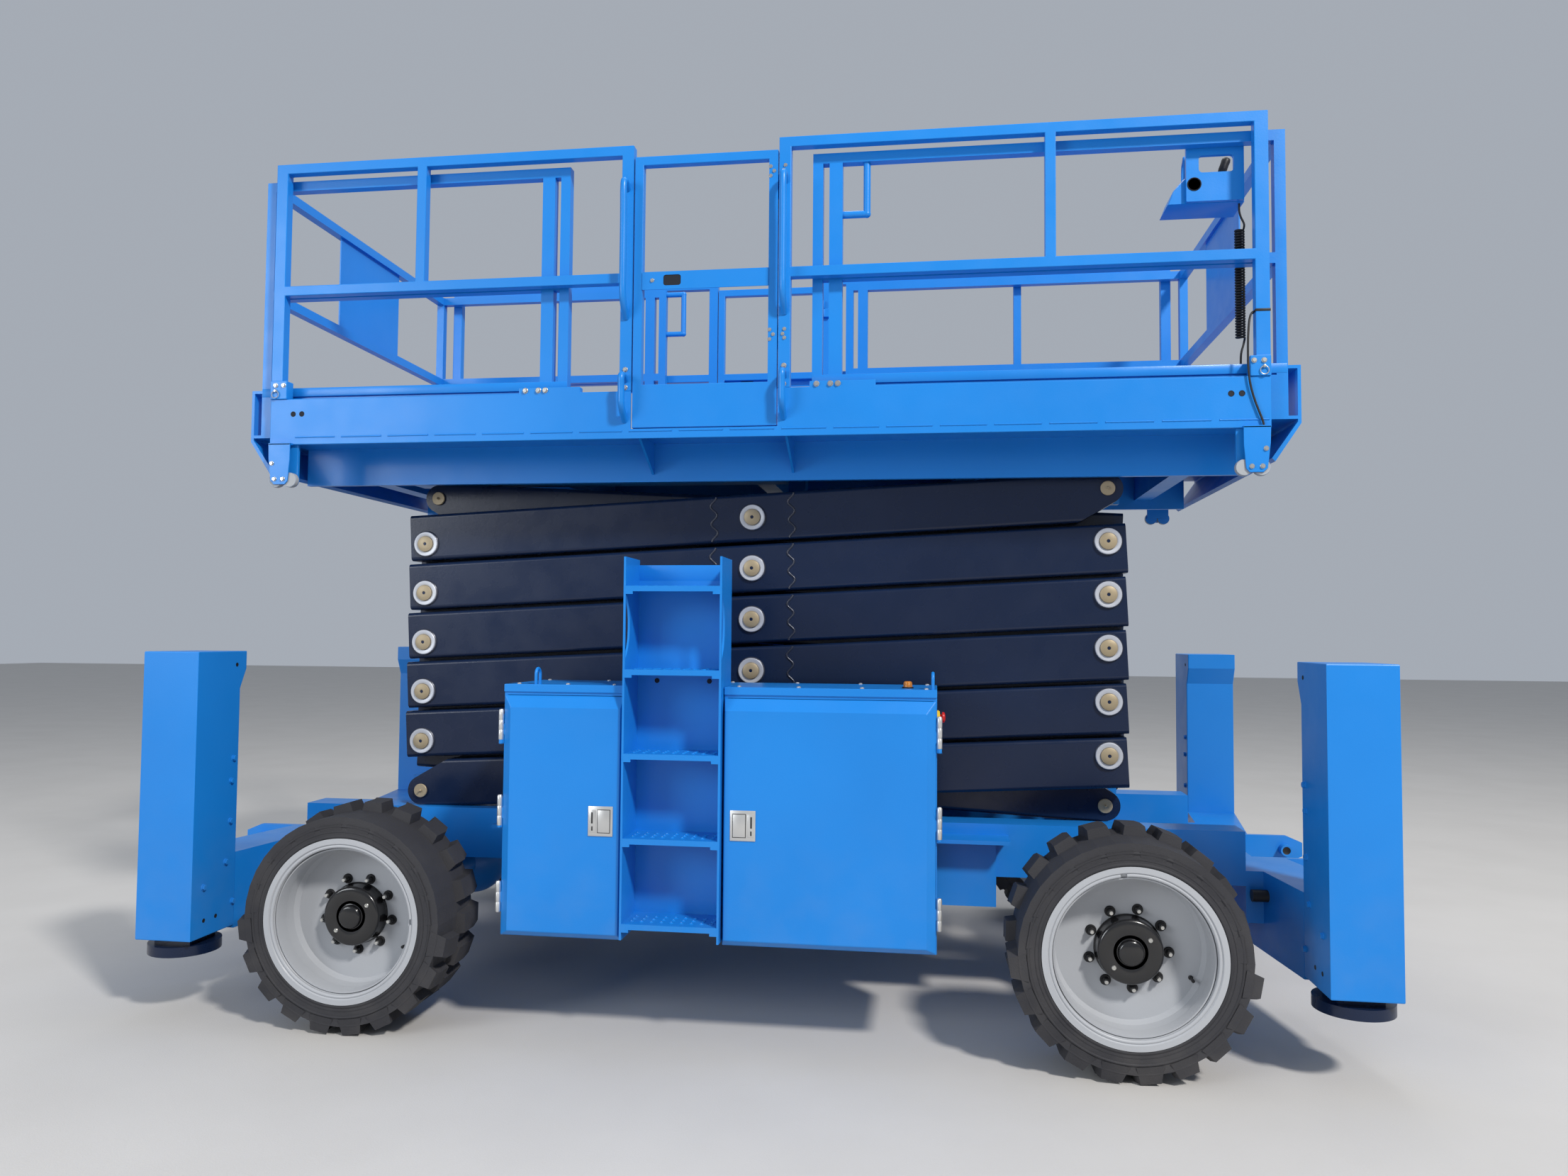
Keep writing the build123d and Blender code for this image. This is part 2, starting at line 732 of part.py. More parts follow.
for stage in range(stages):
    middle = node_height(stage + 0.5)
    low, high = node_height(stage), node_height(stage + 1)
    bottom, top = stage == 0, stage == stages - 1
    for pair, (rise, face) in pairs.items():
        noses = []
        if bottom:
            noses.append((-rise, 1, low))
        if top:
            noses.append((rise, -1, high))
        with BuildPart() as arms:
            for side in (-1, 1):
                tube_end = (-tube_half * cos(arm_slope), middle - rise * tube_half * sin(arm_slope))
                start = Plane(
                    origin=(tube_end[0], side * (face - arm_width / 2), tube_end[1]),
                    x_dir=(0, 1, 0),
                    z_dir=(cos(arm_slope), 0, rise * sin(arm_slope)),
                )
                with BuildSketch(start):
                    RectangleRounded(arm_width, arm_height, arm_corner)
                extrude(amount=2 * tube_half)
            for end, up, height in noses:
                with BuildSketch(Plane.XZ):
                    with BuildLine():
                        points = [(end * (pin_x + out), height + up * rest) for out, rest in nose_outline]
                        Polyline(points, close=True)
                    make_face()
                extrude(amount=arm_face + embed, both=True, mode=Mode.SUBTRACT)
                for side in (-1, 1):
                    crosswise(end * pin_x, height, nose_radius, outboard(side, face - arm_width, face))
            for side in (-1, 1):
                span = outboard(side, face - arm_width, face)
                stub = outboard(side, face - embed, face + nose_pin_end)
                collar = outboard(side, face - embed, face + collar_thickness)
                if pair == "inner":
                    loose_pin = pin_radius + running_clearance
                    loose_nose = nose_pin_radius + running_clearance
                    crosswise(0, middle, loose_pin, span, Mode.SUBTRACT)
                    crosswise(pin_x, low, loose_nose if bottom else loose_pin, span, Mode.SUBTRACT)
                    if top:
                        crosswise(-pin_x, high, nose_pin_radius, stub)
                    else:
                        crosswise(-pin_x, high, loose_pin, span, Mode.SUBTRACT)
                else:
                    crosswise(0, middle, collar_radius, collar)
                    crosswise(0, middle, pin_radius, outboard(side, inner_face - arm_width, pin_reach))
                    if bottom:
                        crosswise(-pin_x, low, nose_pin_radius, stub)
                    else:
                        crosswise(-pin_x, low, collar_radius, collar)
                    if top:
                        crosswise(pin_x, high, nose_pin_radius + running_clearance, span, Mode.SUBTRACT)
                    else:
                        crosswise(pin_x, high, collar_radius, collar)
            if pair == "inner":
                for reach in (-rear_tube_reach, front_tube_reach):
                    tube_y = (-inner_face + arm_width / 2, inner_face - arm_width / 2)
                    tube_x, tube_z = reach * cos(arm_slope), middle - reach * sin(arm_slope)
                    crosswise(tube_x, tube_z, cross_tube_radius, tube_y)
            else:
                if not bottom:
                    crosswise(-pin_x, low, pin_radius, (-pin_reach, pin_reach))
                if not top:
                    crosswise(pin_x, high, pin_radius, (-pin_reach, pin_reach))
            if pair == "outer" and stage in cylinder_stages.values():
                ear_x = (pin_x - rod_eye_radius, pin_x + rod_eye_radius)
                ear_start = rod_eye_width / 2 + rod_ear_gap
                for side in (-1, 1):
                    ear_y = outboard(side, ear_start, ear_start + rod_ear_thickness)
                    crosswise(pin_x, high - rod_pin_drop, rod_eye_radius, ear_y)
                    slab(ear_x, ear_y, (high - rod_pin_drop, high))
        keep(arms, f"{pair}_arms_{stage + 1}")

# Lift cylinders: the barrel turns on the front cross tube of an inner pair, and the rod's eye lies
# between two ears that hang from the front pin tube of the outer pair of the same stage
for name, stage in cylinder_stages.items():
    base_z = node_height(stage + 0.5) - front_tube_reach * sin(arm_slope)
    base = Vector(front_tube_reach * cos(arm_slope), 0, base_z)
    eye = Vector(pin_x, 0, node_height(stage + 1) - rod_pin_drop)
    thrust = (eye - base).normalized()
    with BuildPart() as barrel:
        with BuildSketch(Plane(origin=base, x_dir=(0, 1, 0), z_dir=thrust)):
            Circle(barrel_radius)
        extrude(amount=barrel_length)
        crosswise(base.X, base.Z, barrel_eye_radius, (-barrel_radius, barrel_radius), Mode.SUBTRACT)
        crosswise(base.X, base.Z, barrel_eye_radius, (-barrel_eye_width / 2, barrel_eye_width / 2))
        bore = cross_tube_radius + running_clearance
        crosswise(base.X, base.Z, bore, (-barrel_radius, barrel_radius), Mode.SUBTRACT)
        bore_start = base + thrust * (barrel_eye_radius + barrel_floor)
        with BuildSketch(Plane(origin=bore_start, x_dir=(0, 1, 0), z_dir=thrust)):
            Circle(rod_radius + running_clearance)
        extrude(amount=barrel_length, mode=Mode.SUBTRACT)
    keep(barrel, f"{name}_barrel")
    with BuildPart() as rod:
        with BuildSketch(Plane(origin=eye - thrust * rod_tail, x_dir=(0, 1, 0), z_dir=thrust)):
            Circle(rod_radius)
        extrude(amount=rod_tail)
        crosswise(eye.X, eye.Z, rod_eye_radius, (-rod_eye_width / 2, rod_eye_width / 2))
    keep(rod, f"{name}_rod")

# Platform deck: floor, inset beams, cross members, slide rails for the top sliding arms and ears for the
# top fixed arms
floor_bottom = floor_top - floor_plate
slide_face = top_pin_height + nose_radius + slide_gap
top_ear = arm_face - arm_width - ear_gap
with BuildPart() as platform_deck:
    deck_x = (-deck_half_length, deck_half_length)
    floor_half = deck_half_width - fascia_plate
    slab(deck_x, (-floor_half, floor_half), (floor_bottom, floor_top))
    for side in (-1, 1):
        beam = outboard(side, deck_beam_y - deck_beam_plate, deck_beam_y)
        slab(deck_x, beam, (floor_top - deck_beam_drop, floor_bottom + weld))
        slide = outboard(side, inner_face - arm_width - embed, inner_face + nose_pin_end)
        slab((-pin_x - 2 * nose_radius, 2 * nose_radius), slide, (slide_face, floor_bottom + weld))
        ear_y = outboard(side, top_ear - ear_thickness, top_ear)
        ear_z = (top_pin_height - nose_radius + embed, floor_bottom + weld)
        slab((pin_x - nose_radius, pin_x + nose_radius), ear_y, ear_z)
        ear_pin = outboard(side, top_ear - embed, arm_face + nose_pin_end)
        crosswise(pin_x, top_pin_height, nose_pin_radius, ear_pin)
    for side in (-1, 1):
        for place in (gusset_rear, gusset_front):
            with BuildSketch(Plane.YZ.offset(place)):
                with BuildLine():
                    Polyline(
                        (side * (deck_beam_y - weld), floor_bottom + weld),
                        (side * (deck_beam_y + gusset_reach), floor_bottom + weld),
                        (side * (deck_beam_y - weld), floor_bottom - gusset_drop),
                        close=True,
                    )
                make_face()
    extrude(amount=gusset_plate / 2, both=True)
    for side in (-1, 1):
        for end in (-1, 1):
            edges = (roller_front - roller_bracket_edge, roller_rear + roller_bracket_edge)
            bracket_x = sorted((end * edges[0], end * edges[1]))
            bracket_y = outboard(side, floor_half - roller_bracket, floor_half)
            roller_z = floor_top - roller_drop - roller_radius
            slab(bracket_x, bracket_y, (roller_z, floor_bottom + weld))
            roller_y = outboard(side, floor_half - weld, floor_half + roller_width)
            for place in (roller_rear, roller_front):
                crosswise(end * place, roller_z, roller_radius, roller_y)
    for place in deck_cross_places:
        cross_x = place * deck_half_length
        cross_z = (slide_face + deck_cross_gap, floor_bottom + weld)
        cross_span = (cross_x - deck_cross_width / 2, cross_x + deck_cross_width / 2)
        slab(cross_span, (-deck_beam_y + weld, deck_beam_y - weld), cross_z)
keep(platform_deck, "platform_deck")

# Side fascias of the deck, cut down to the floor at the gates
with BuildPart() as platform_fascia:
    for side in (-1, 1):
        fascia = outboard(side, floor_half, deck_half_width)
        slab(deck_x, fascia, (fascia_bottom, fascia_top))
        bar_y = outboard(side, deck_half_width - slide_bar_inner, deck_half_width)
        for start in (slide_bar_rear, slide_bar_front):
            bar_z = (fascia_top - weld, fascia_top + slide_bar_rise)
            slab((start, start + slide_bar_length), bar_y, bar_z)
        gate_cut = outboard(side, floor_half - weld, deck_half_width + weld)
        gate_x = (gate_rear - gate_gap, gate_front + gate_gap)
        slab(gate_x, gate_cut, (floor_top, fascia_top + weld), Mode.SUBTRACT)
keep(platform_fascia, "platform_fascia")

# Guard rails of the main deck: a frame each side of both gates, with the hinge pins of the gates
rail_inner_face = deck_half_width - rail_tube
gate_hinge_x = gate_front + gate_gap / 2
gate_hinge_y = rail_inner_face - gate_hinge_inset
gate_hinge_heights = (mid_rail_top - gate_hinge_low, gate_top - gate_hinge_high)
with BuildPart() as guard_rails:
    for side in (-1, 1):
        rail_y = outboard(side, rail_inner_face, deck_half_width)
        spans = [(-deck_half_length, gate_rear - gate_gap), (gate_front + gate_gap, deck_half_length)]
        for (start, stop), post in zip(spans, (short_post_rear, short_post_front)):
            slab((start, stop), rail_y, (rail_top - rail_tube, rail_top))
            slab((start, stop), rail_y, (mid_rail_top - rail_tube, mid_rail_top))
            post_x = (post - rail_tube / 2, post + rail_tube / 2)
            slab(post_x, rail_y, (mid_rail_top - weld, rail_top - weld))
            rear_width = corner_post if start == -deck_half_length else gate_post
            front_width = corner_post if stop == deck_half_length else gate_post
            slab((start, start + rear_width), rail_y, (fascia_top, rail_top))
            slab((stop - front_width, stop), rail_y, (fascia_top, rail_top))
            at_rear = start == -deck_half_length
            sleeve_x = (start, start + sleeve_width) if at_rear else (stop - sleeve_width, stop)
            sleeve_y = outboard(side, rail_inner_face, deck_half_width + sleeve_proud)
            slab(sleeve_x, sleeve_y, (fascia_top, fascia_top + sleeve_rise))
        lug_y = outboard(side, gate_hinge_y - gate_hinge_pin, rail_inner_face + weld)
        lug_x = (gate_front + gate_gap, gate_hinge_x + gate_hinge_lug)
        for height in gate_hinge_heights:
            foot = (height - gate_hinge_knuckle, height)
            with Locations((gate_hinge_x, side * gate_hinge_y, height)):
                Cylinder(gate_hinge_pin, 2 * gate_hinge_knuckle)
            with Locations((gate_hinge_x, side * gate_hinge_y, height - gate_hinge_knuckle / 2)):
                Cylinder(gate_hinge_radius, gate_hinge_knuckle)
            slab(lug_x, lug_y, foot)
keep(guard_rails, "guard_rails")

# Grab handles on the posts beside the gates: a tall one above the mid rail and a short one at the toe
grips = (
    (rail_top - handle_high, mid_rail_top - handle_mid),
    (fascia_top + handle_toe, floor_top + handle_low),
)
with BuildPart() as grab_handles:
    for side in (-1, 1):
        for handle_x in (gate_rear - gate_gap - gate_post / 2, gate_front + gate_gap + gate_post / 2):
            for high, low in grips:
                away = side * (deck_half_width + handle_reach)
                handle_line = [
                    (handle_x, side * deck_half_width, high),
                    (handle_x, away, high),
                    (handle_x, away, low),
                    (handle_x, side * deck_half_width, low),
                ]
                bent_bar(handle_line, handle_radius)
keep(grab_handles, "grab_handles")

# Gates: tube frames with a mid rail and a toe sheet, hinged at their front posts
for name, side in {"near": -1, "far": 1}.items():
    with BuildPart() as gate:
        gate_y = outboard(side, rail_inner_face, rail_inner_face + gate_tube)
        gate_bottom = floor_top + gate_gap
        for low in (gate_bottom, mid_rail_top - gate_tube, gate_top - gate_tube):
            slab((gate_rear, gate_front), gate_y, (low, low + gate_tube))
        for start in (gate_rear, gate_front - gate_tube):
            slab((start, start + gate_tube), gate_y, (gate_bottom, gate_top))
        sheet_y = outboard(side, rail_inner_face + gate_tube - gate_sheet, rail_inner_face + gate_tube)
        slab((gate_rear, gate_front), sheet_y, (gate_bottom, fascia_top + gate_toe_rise))
        lug_y = outboard(side, gate_hinge_y - gate_hinge_pin, rail_inner_face + weld)
        for height in gate_hinge_heights:
            bearing = height + hinge_play
            lug_z = (bearing, bearing + gate_hinge_knuckle)
            slab((gate_hinge_x - gate_hinge_lug, gate_hinge_x), lug_y, lug_z)
            with Locations((gate_hinge_x, side * gate_hinge_y, bearing + gate_hinge_knuckle / 2)):
                Cylinder(gate_hinge_radius, gate_hinge_knuckle)
                Cylinder(gate_hinge_pin + running_clearance, 2 * gate_hinge_knuckle, mode=Mode.SUBTRACT)
    keep(gate, f"gate_{name}")

# Extension decks: a floor that slides on the main floor, an apron and an end rail with its panel, and
# side rails nested inside the main rails
extension_rail_inner = extension_half_width - rail_tube
extensions = {"rear": (-1, rear_extension_start), "front": (1, front_extension_start)}
apron_top = fascia_top + apron_rise
apron_knee = fascia_bottom + apron_knee_rise
apron_bottom = fascia_bottom - apron_drop
for name, (end, start) in extensions.items():
    with BuildPart() as extension:
        span = sorted((start, end * extension_end))
        extension_top = extension_floor_bottom + extension_floor
        apron_face = extension_end + apron_depth
        floor_x = sorted((start, end * (apron_face - weld)))
        floor_y = (-extension_half_width, extension_half_width)
        slab(floor_x, floor_y, (extension_floor_bottom, extension_top))
        with BuildSketch(Plane.XZ):
            with BuildLine():
                Polyline(
                    (end * (extension_end - rail_tube), apron_top),
                    (end * apron_face, apron_top),
                    (end * apron_face, apron_knee),
                    (end * (extension_end - apron_foot), apron_bottom),
                    (end * (extension_end - apron_foot - apron_plate), apron_bottom + apron_plate),
                    (end * (apron_face - apron_plate), apron_knee + apron_plate / 2),
                    (end * (apron_face - apron_plate), apron_top - apron_plate),
                    (end * (extension_end - rail_tube), apron_top - apron_plate),
                    close=True,
                )
            make_face()
        extrude(amount=extension_half_width, both=True)
        end_x = sorted((end * extension_end, end * (extension_end - rail_tube)))
        end_y = (-extension_half_width, extension_half_width)
        slab(end_x, end_y, (extension_rail_top - rail_tube, extension_rail_top))
        slab(end_x, end_y, (mid_rail_top - rail_tube, mid_rail_top))
        panel_face = extension_end - rail_tube / 2
        panel_x = sorted((end * panel_face, end * (panel_face - end_panel_plate)))
        panel_z = (mid_rail_top - weld, extension_rail_top - rail_tube + weld)
        slab(panel_x, (-end_panel_half, end_panel_half), panel_z)
        inner_post = sorted((start, start + end * rail_tube))
        grip_x = sorted((start + end * grip_post_gap, start + end * (grip_post_gap + grip_post)))
        grip_y = end * -(extension_half_width - rail_tube / 2)
        grip_top = extension_rail_top - grip_rise - grip_radius
        grip_root = grip_x[1] if end > 0 else inner_post[1]
        bent_bar(
            [
                (grip_root - weld, grip_y, grip_top),
                (grip_root + grip_reach, grip_y, grip_top),
                (grip_root + grip_reach, grip_y, grip_top - grip_height),
                (grip_root - weld, grip_y, grip_top - grip_height),
            ],
            grip_radius,
        )
        for side in (-1, 1):
            side_y = outboard(side, extension_rail_inner, extension_half_width)
            slab(end_x, side_y, (extension_top - weld, extension_rail_top))
            slab(inner_post, side_y, (extension_top - weld, extension_rail_top))
            slab(grip_x, side_y, (extension_top - weld, extension_rail_top))
            slab(span, side_y, (extension_rail_top - rail_tube, extension_rail_top))
            slab(span, side_y, (mid_rail_top - rail_tube, mid_rail_top))
            toe = outboard(side, extension_half_width - fascia_plate, extension_half_width)
            slab(span, toe, (extension_top - weld, fascia_top + extension_toe_rise))
    keep(extension, f"{name}_extension")

# Control box on the front extension's near rail
control_end = control_start + control_length
control_bottom = extension_rail_top - control_drop
with BuildPart() as control_box:
    box_y = (-extension_rail_inner + control_plate, -extension_rail_inner + control_plate + control_width)
    with BuildSketch(Plane.XZ.offset(-(box_y[0] + box_y[1]) / 2)):
        with BuildLine():
            Polyline(
                (control_start, control_bottom),
                (control_end, control_bottom),
                (control_end, control_bottom + control_height),
                (control_start + control_slope, control_bottom + control_height),
                (control_start + control_toe, control_bottom + control_lip),
                close=True,
            )
        make_face()
    extrude(amount=control_width / 2, both=True)
    plate_x = (control_start + control_inset, control_end - control_inset)
    plate_y = (-extension_rail_inner, -extension_rail_inner + control_plate + weld)
    slab(plate_x, plate_y, (control_bottom, extension_rail_top))
keep(control_box, "control_box")

# The control box's cable, with its coiled middle as one fat tube, hangs to the extension's floor
with BuildPart() as control_cable:
    cable_y = -extension_rail_inner + cable_inset
    cable_foot = extension_floor_bottom + extension_floor
    coil_z = control_bottom - coil_drop - coil_length / 2
    with Locations((cable_x, cable_y, (cable_foot + control_bottom) / 2)):
        Cylinder(cable_radius, control_bottom - cable_foot)
    with Locations((cable_x, cable_y, coil_z)):
        Cylinder(coil_radius, coil_length)
keep(control_cable, "control_cable")
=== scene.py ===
import bmesh
import bpy
import numpy as np
from mathutils import Matrix


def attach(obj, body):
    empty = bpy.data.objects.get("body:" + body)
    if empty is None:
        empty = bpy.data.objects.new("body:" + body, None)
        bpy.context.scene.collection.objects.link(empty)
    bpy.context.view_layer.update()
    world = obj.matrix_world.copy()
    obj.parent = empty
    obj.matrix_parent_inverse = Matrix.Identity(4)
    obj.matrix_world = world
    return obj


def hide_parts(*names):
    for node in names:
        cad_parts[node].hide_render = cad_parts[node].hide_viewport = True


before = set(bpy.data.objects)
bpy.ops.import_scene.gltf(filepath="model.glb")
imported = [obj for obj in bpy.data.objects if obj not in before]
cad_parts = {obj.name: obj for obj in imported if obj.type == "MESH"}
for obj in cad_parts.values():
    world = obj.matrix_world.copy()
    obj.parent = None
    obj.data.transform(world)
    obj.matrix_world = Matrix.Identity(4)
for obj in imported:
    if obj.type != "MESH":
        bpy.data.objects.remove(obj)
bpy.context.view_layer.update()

# The chassis is a welded frame of folded plate and box section, with an outrigger frame across each
# end. It is sprayed in one coat of bright azure enamel that lies a little uneven on the plate.
dust_tone, dust_height = (0.36, 0.33, 0.29), 0.9
housing_round, door_round, sheet_round = 0.004, 0.003, 0.0025


def sprayed(name, colour, second, roughness, peel=0.10, dust=0.0, coat=0.05, metal=0.0, grain=160.0):
    """A sprayed or bare finish. Colour drifts between two tones with a broad noise, roughness with a finer
    one, orange peel is a fine noise in the bump, and dust is a pale tone mixed in where a third noise is
    high and the point is low down."""
    material = bpy.data.materials.new(name)
    material.use_nodes = True
    tree = material.node_tree
    shader = tree.nodes["Principled BSDF"]
    place = tree.nodes.new("ShaderNodeTexCoord").outputs["Object"]

    def noise(scale, detail):
        node = tree.nodes.new("ShaderNodeTexNoise")
        node.inputs["Scale"].default_value = scale
        node.inputs["Detail"].default_value = detail
        tree.links.new(place, node.inputs["Vector"])
        return node.outputs["Fac"]

    def ramp(value, low, high, first, last):
        node = tree.nodes.new("ShaderNodeMapRange")
        node.inputs["From Min"].default_value = low
        node.inputs["From Max"].default_value = high
        node.inputs["To Min"].default_value = first
        node.inputs["To Max"].default_value = last
        tree.links.new(value, node.inputs["Value"])
        return node.outputs["Result"]

    def mixed(share, first, last):
        node = tree.nodes.new("ShaderNodeMix")
        node.data_type = "RGBA"
        tree.links.new(share, node.inputs["Factor"])
        for end, socket in ((first, node.inputs[6]), (last, node.inputs[7])):
            if isinstance(end, tuple):
                socket.default_value = (*end, 1)
            else:
                tree.links.new(end, socket)
        return node.outputs[2]

    tone = mixed(ramp(noise(1.6, 3), 0.35, 0.65, 0, 1), colour, second)
    if dust:
        height = tree.nodes.new("ShaderNodeSeparateXYZ")
        tree.links.new(place, height.inputs[0])
        low_down = ramp(height.outputs["Z"], 0.0, dust_height, dust, 0.0)
        speck = ramp(noise(7, 8), 0.42, 0.80, 0, 1)
        share = tree.nodes.new("ShaderNodeMath")
        share.operation = "MULTIPLY"
        tree.links.new(low_down, share.inputs[0])
        tree.links.new(speck, share.inputs[1])
        tone = mixed(share.outputs[0], tone, dust_tone)
    tree.links.new(tone, shader.inputs["Base Color"])
    sheen_drift = ramp(noise(9, 4), 0.3, 0.7, roughness - 0.05, roughness + 0.06)
    tree.links.new(sheen_drift, shader.inputs["Roughness"])
    bump = tree.nodes.new("ShaderNodeBump")
    bump.inputs["Strength"].default_value = peel
    bump.inputs["Distance"].default_value = 0.002
    tree.links.new(noise(grain, 2), bump.inputs["Height"])
    tree.links.new(bump.outputs["Normal"], shader.inputs["Normal"])
    shader.inputs["Coat Weight"].default_value = coat
    shader.inputs["Coat Roughness"].default_value = 0.12
    shader.inputs["Metallic"].default_value = metal
    shader.inputs["Specular IOR Level"].default_value = 0.5 if metal else 0.34
    return material


def finish_node(node, material):
    """Gives a carried-over solid its finish."""
    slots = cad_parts[node].data.materials
    slots.clear()
    slots.append(material)


def rolled_edges(node, width):
    """Rounds the sharp edges of a sheet metal solid: its faces are joined where they meet, and each edge
    sharper than forty degrees gets a round of the given width."""
    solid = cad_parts[node]
    joined = solid.modifiers.new("joined", "WELD")
    joined.merge_threshold = 1e-5
    rolled = solid.modifiers.new("rolled", "BEVEL")
    rolled.width = width
    rolled.segments = 2
    rolled.limit_method = "ANGLE"
    rolled.angle_limit = np.radians(40)
    rolled.use_clamp_overlap = False


azure = sprayed("azure_enamel", (0.008, 0.196, 0.61), (0.009, 0.212, 0.65), 0.36, dust=0.12, coat=0.08)
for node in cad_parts:
    finish_node(node, azure)
rolled_edges("outrigger_housings", housing_round)
for door in ("near_rear", "near_front", "far_rear", "far_front"):
    rolled_edges("door_" + door, door_round)
for node in ("guard_rails", "gate_near", "gate_far", "platform_fascia", "cabinet_near", "cabinet_far"):
    rolled_edges(node, sheet_round)

# The engine stands behind the near doors as one block of bare cast iron, which is rough from the mould
# and has no coat.
iron = sprayed("engine_iron", (0.045, 0.045, 0.047), (0.070, 0.068, 0.066), 0.6, peel=0.5, coat=0, metal=0.3)
finish_node("engine_block", iron)

# A short piece of tube is welded through each lug plate of the outrigger frames. Its bore is a dark plug set
# a little back from both ends: painted shade for the shadow inside the open tube. At the front a black
# sleeve goes into each side of the frame.
lug_x, lug_y, lug_z = 2.335, 0.2725, 0.538
sleeve_x, sleeve_y, sleeve_z = 2.062, 0.592, 0.512
oxide = sprayed("black_oxide", (0.012, 0.012, 0.013), (0.020, 0.020, 0.022), 0.45, coat=0.0, metal=0.4)


def turned(profile, centre, axis, count=32, phase=0.0):
    """A turned surface. Each profile point is a radius and a height: the radius swings a full turn about
    the axis, and the height is laid along it from the centre."""
    profile = np.asarray(profile, float)
    axis = np.asarray(axis, float) / np.linalg.norm(axis)
    first = np.cross(axis, (0.0, 0.0, 1.0) if abs(axis[2]) < 0.9 else (1.0, 0.0, 0.0))
    first = first / np.linalg.norm(first)
    second = np.cross(axis, first)
    angle = phase + np.linspace(0, 2 * np.pi, count + 1)[:, None]
    ring = np.cos(angle) * first + np.sin(angle) * second
    return np.asarray(centre) + profile[:, 1, None, None] * axis + profile[:, 0, None, None] * ring


def piece(name, sheets, material, body, sharp=38):
    """One object from grid sheets. Every cell of a sheet's grid is a face, points that fall together are
    merged so that seams and poles close, and faces are turned outwards."""
    points, faces, start = [], [], 0
    for sheet in sheets:
        ids = np.arange(sheet.shape[0] * sheet.shape[1]).reshape(sheet.shape[:2]) + start
        cells = [ids[:-1, :-1], ids[1:, :-1], ids[1:, 1:], ids[:-1, 1:]]
        faces.append(np.stack(cells, -1).reshape(-1, 4))
        points.append(sheet.reshape(-1, 3))
        start += ids.size
    mesh = bpy.data.meshes.new(name)
    mesh.from_pydata(np.concatenate(points).tolist(), [], np.concatenate(faces).tolist())
    shell = bmesh.new()
    shell.from_mesh(mesh)
    bmesh.ops.remove_doubles(shell, verts=shell.verts, dist=1e-6)
    bmesh.ops.dissolve_degenerate(shell, edges=shell.edges, dist=1e-7)
    bmesh.ops.recalc_face_normals(shell, faces=shell.faces)
    shell.to_mesh(mesh)
    shell.free()
    mesh.shade_smooth()
    mesh.set_sharp_from_angle(angle=np.radians(sharp))
    mesh.materials.append(material)
    made = bpy.data.objects.new(name, mesh)
    bpy.context.collection.objects.link(made)
    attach(made, body)
    return made


lug_tube = [(0.0175, -0.052), (0.0245, -0.053), (0.0255, -0.052)]
lug_tube += [(0.0255, 0.052), (0.0245, 0.053), (0.0175, 0.052)]
# The bore plug is painted shade: a closed dark solid inside the tube in place of its shadowed hollow.
lug_bore_shade = [(0, -0.045), (0.0178, -0.0518), (0.0178, 0.0518), (0, 0.045)]
lug_tubes, lug_bore_shades = [], []
for end in (-1, 1):
    for side in (-1, 1):
        lug = (end * lug_x, side * lug_y, lug_z)
        lug_tubes.append(turned(lug_tube, lug, (0, side, 0), 32))
        lug_bore_shades.append(turned(lug_bore_shade, lug, (0, side, 0), 32))
piece("lug_tubes", lug_tubes, azure, "chassis")
piece("lug_bore_shades", lug_bore_shades, oxide, "chassis")
sleeve = [(0.0, -0.10), (0.023, -0.10), (0.023, -0.012), (0.031, -0.012)]
sleeve += [(0.032, -0.010), (0.032, 0.0), (0.0, 0.0)]
hose_sleeves = [turned(sleeve, (sleeve_x, side * sleeve_y, sleeve_z), (1, 0, 0), 32) for side in (-1, 1)]
piece("hose_sleeves", hose_sleeves, oxide, "chassis")

# The wheels are pressed steel rims in silver paint with a split lock ring in the gutter. Each is held by
# nine studs with dark nuts and washers round a gloss black hub drum with a small cap.
axle_x, axle_z, tyre_middle = 1.425, 0.419, 1.045
ring_reach, ring_face, ring_thick, split_half = 0.2765, 1.1845, 0.0072, 2.2
dish_face, drum_face = 1.053, 1.1165
stud_count, stud_circle, screw_circle, valve_circle = 9, 0.1365, 0.078, 0.228
stud_angle = {"front_near": 276, "rear_near": 271, "front_far": 268, "rear_far": 279}
split_angle = {"front_near": 97, "rear_near": 2, "front_far": 40, "rear_far": 150}
silver = sprayed("silver_rim_paint", (0.37, 0.385, 0.41), (0.41, 0.425, 0.45), 0.40, dust=0.05)
hub_black = sprayed("hub_gloss_black", (0.006, 0.006, 0.007), (0.010, 0.010, 0.011), 0.22, coat=0.6)
zinc = sprayed("bright_zinc", (0.52, 0.52, 0.50), (0.60, 0.59, 0.56), 0.30, coat=0.0, metal=0.9)
rubber_tones = (0.027, 0.027, 0.032), (0.039, 0.039, 0.044)
rubber = sprayed("tyre_rubber", *rubber_tones, 0.78, peel=0.45, dust=0.10, coat=0)
sidewall_tones = (0.024, 0.0245, 0.029), (0.032, 0.032, 0.037)
sidewall = sprayed("sidewall_rubber", *sidewall_tones, 0.70, peel=0.3, dust=0.08, coat=0)


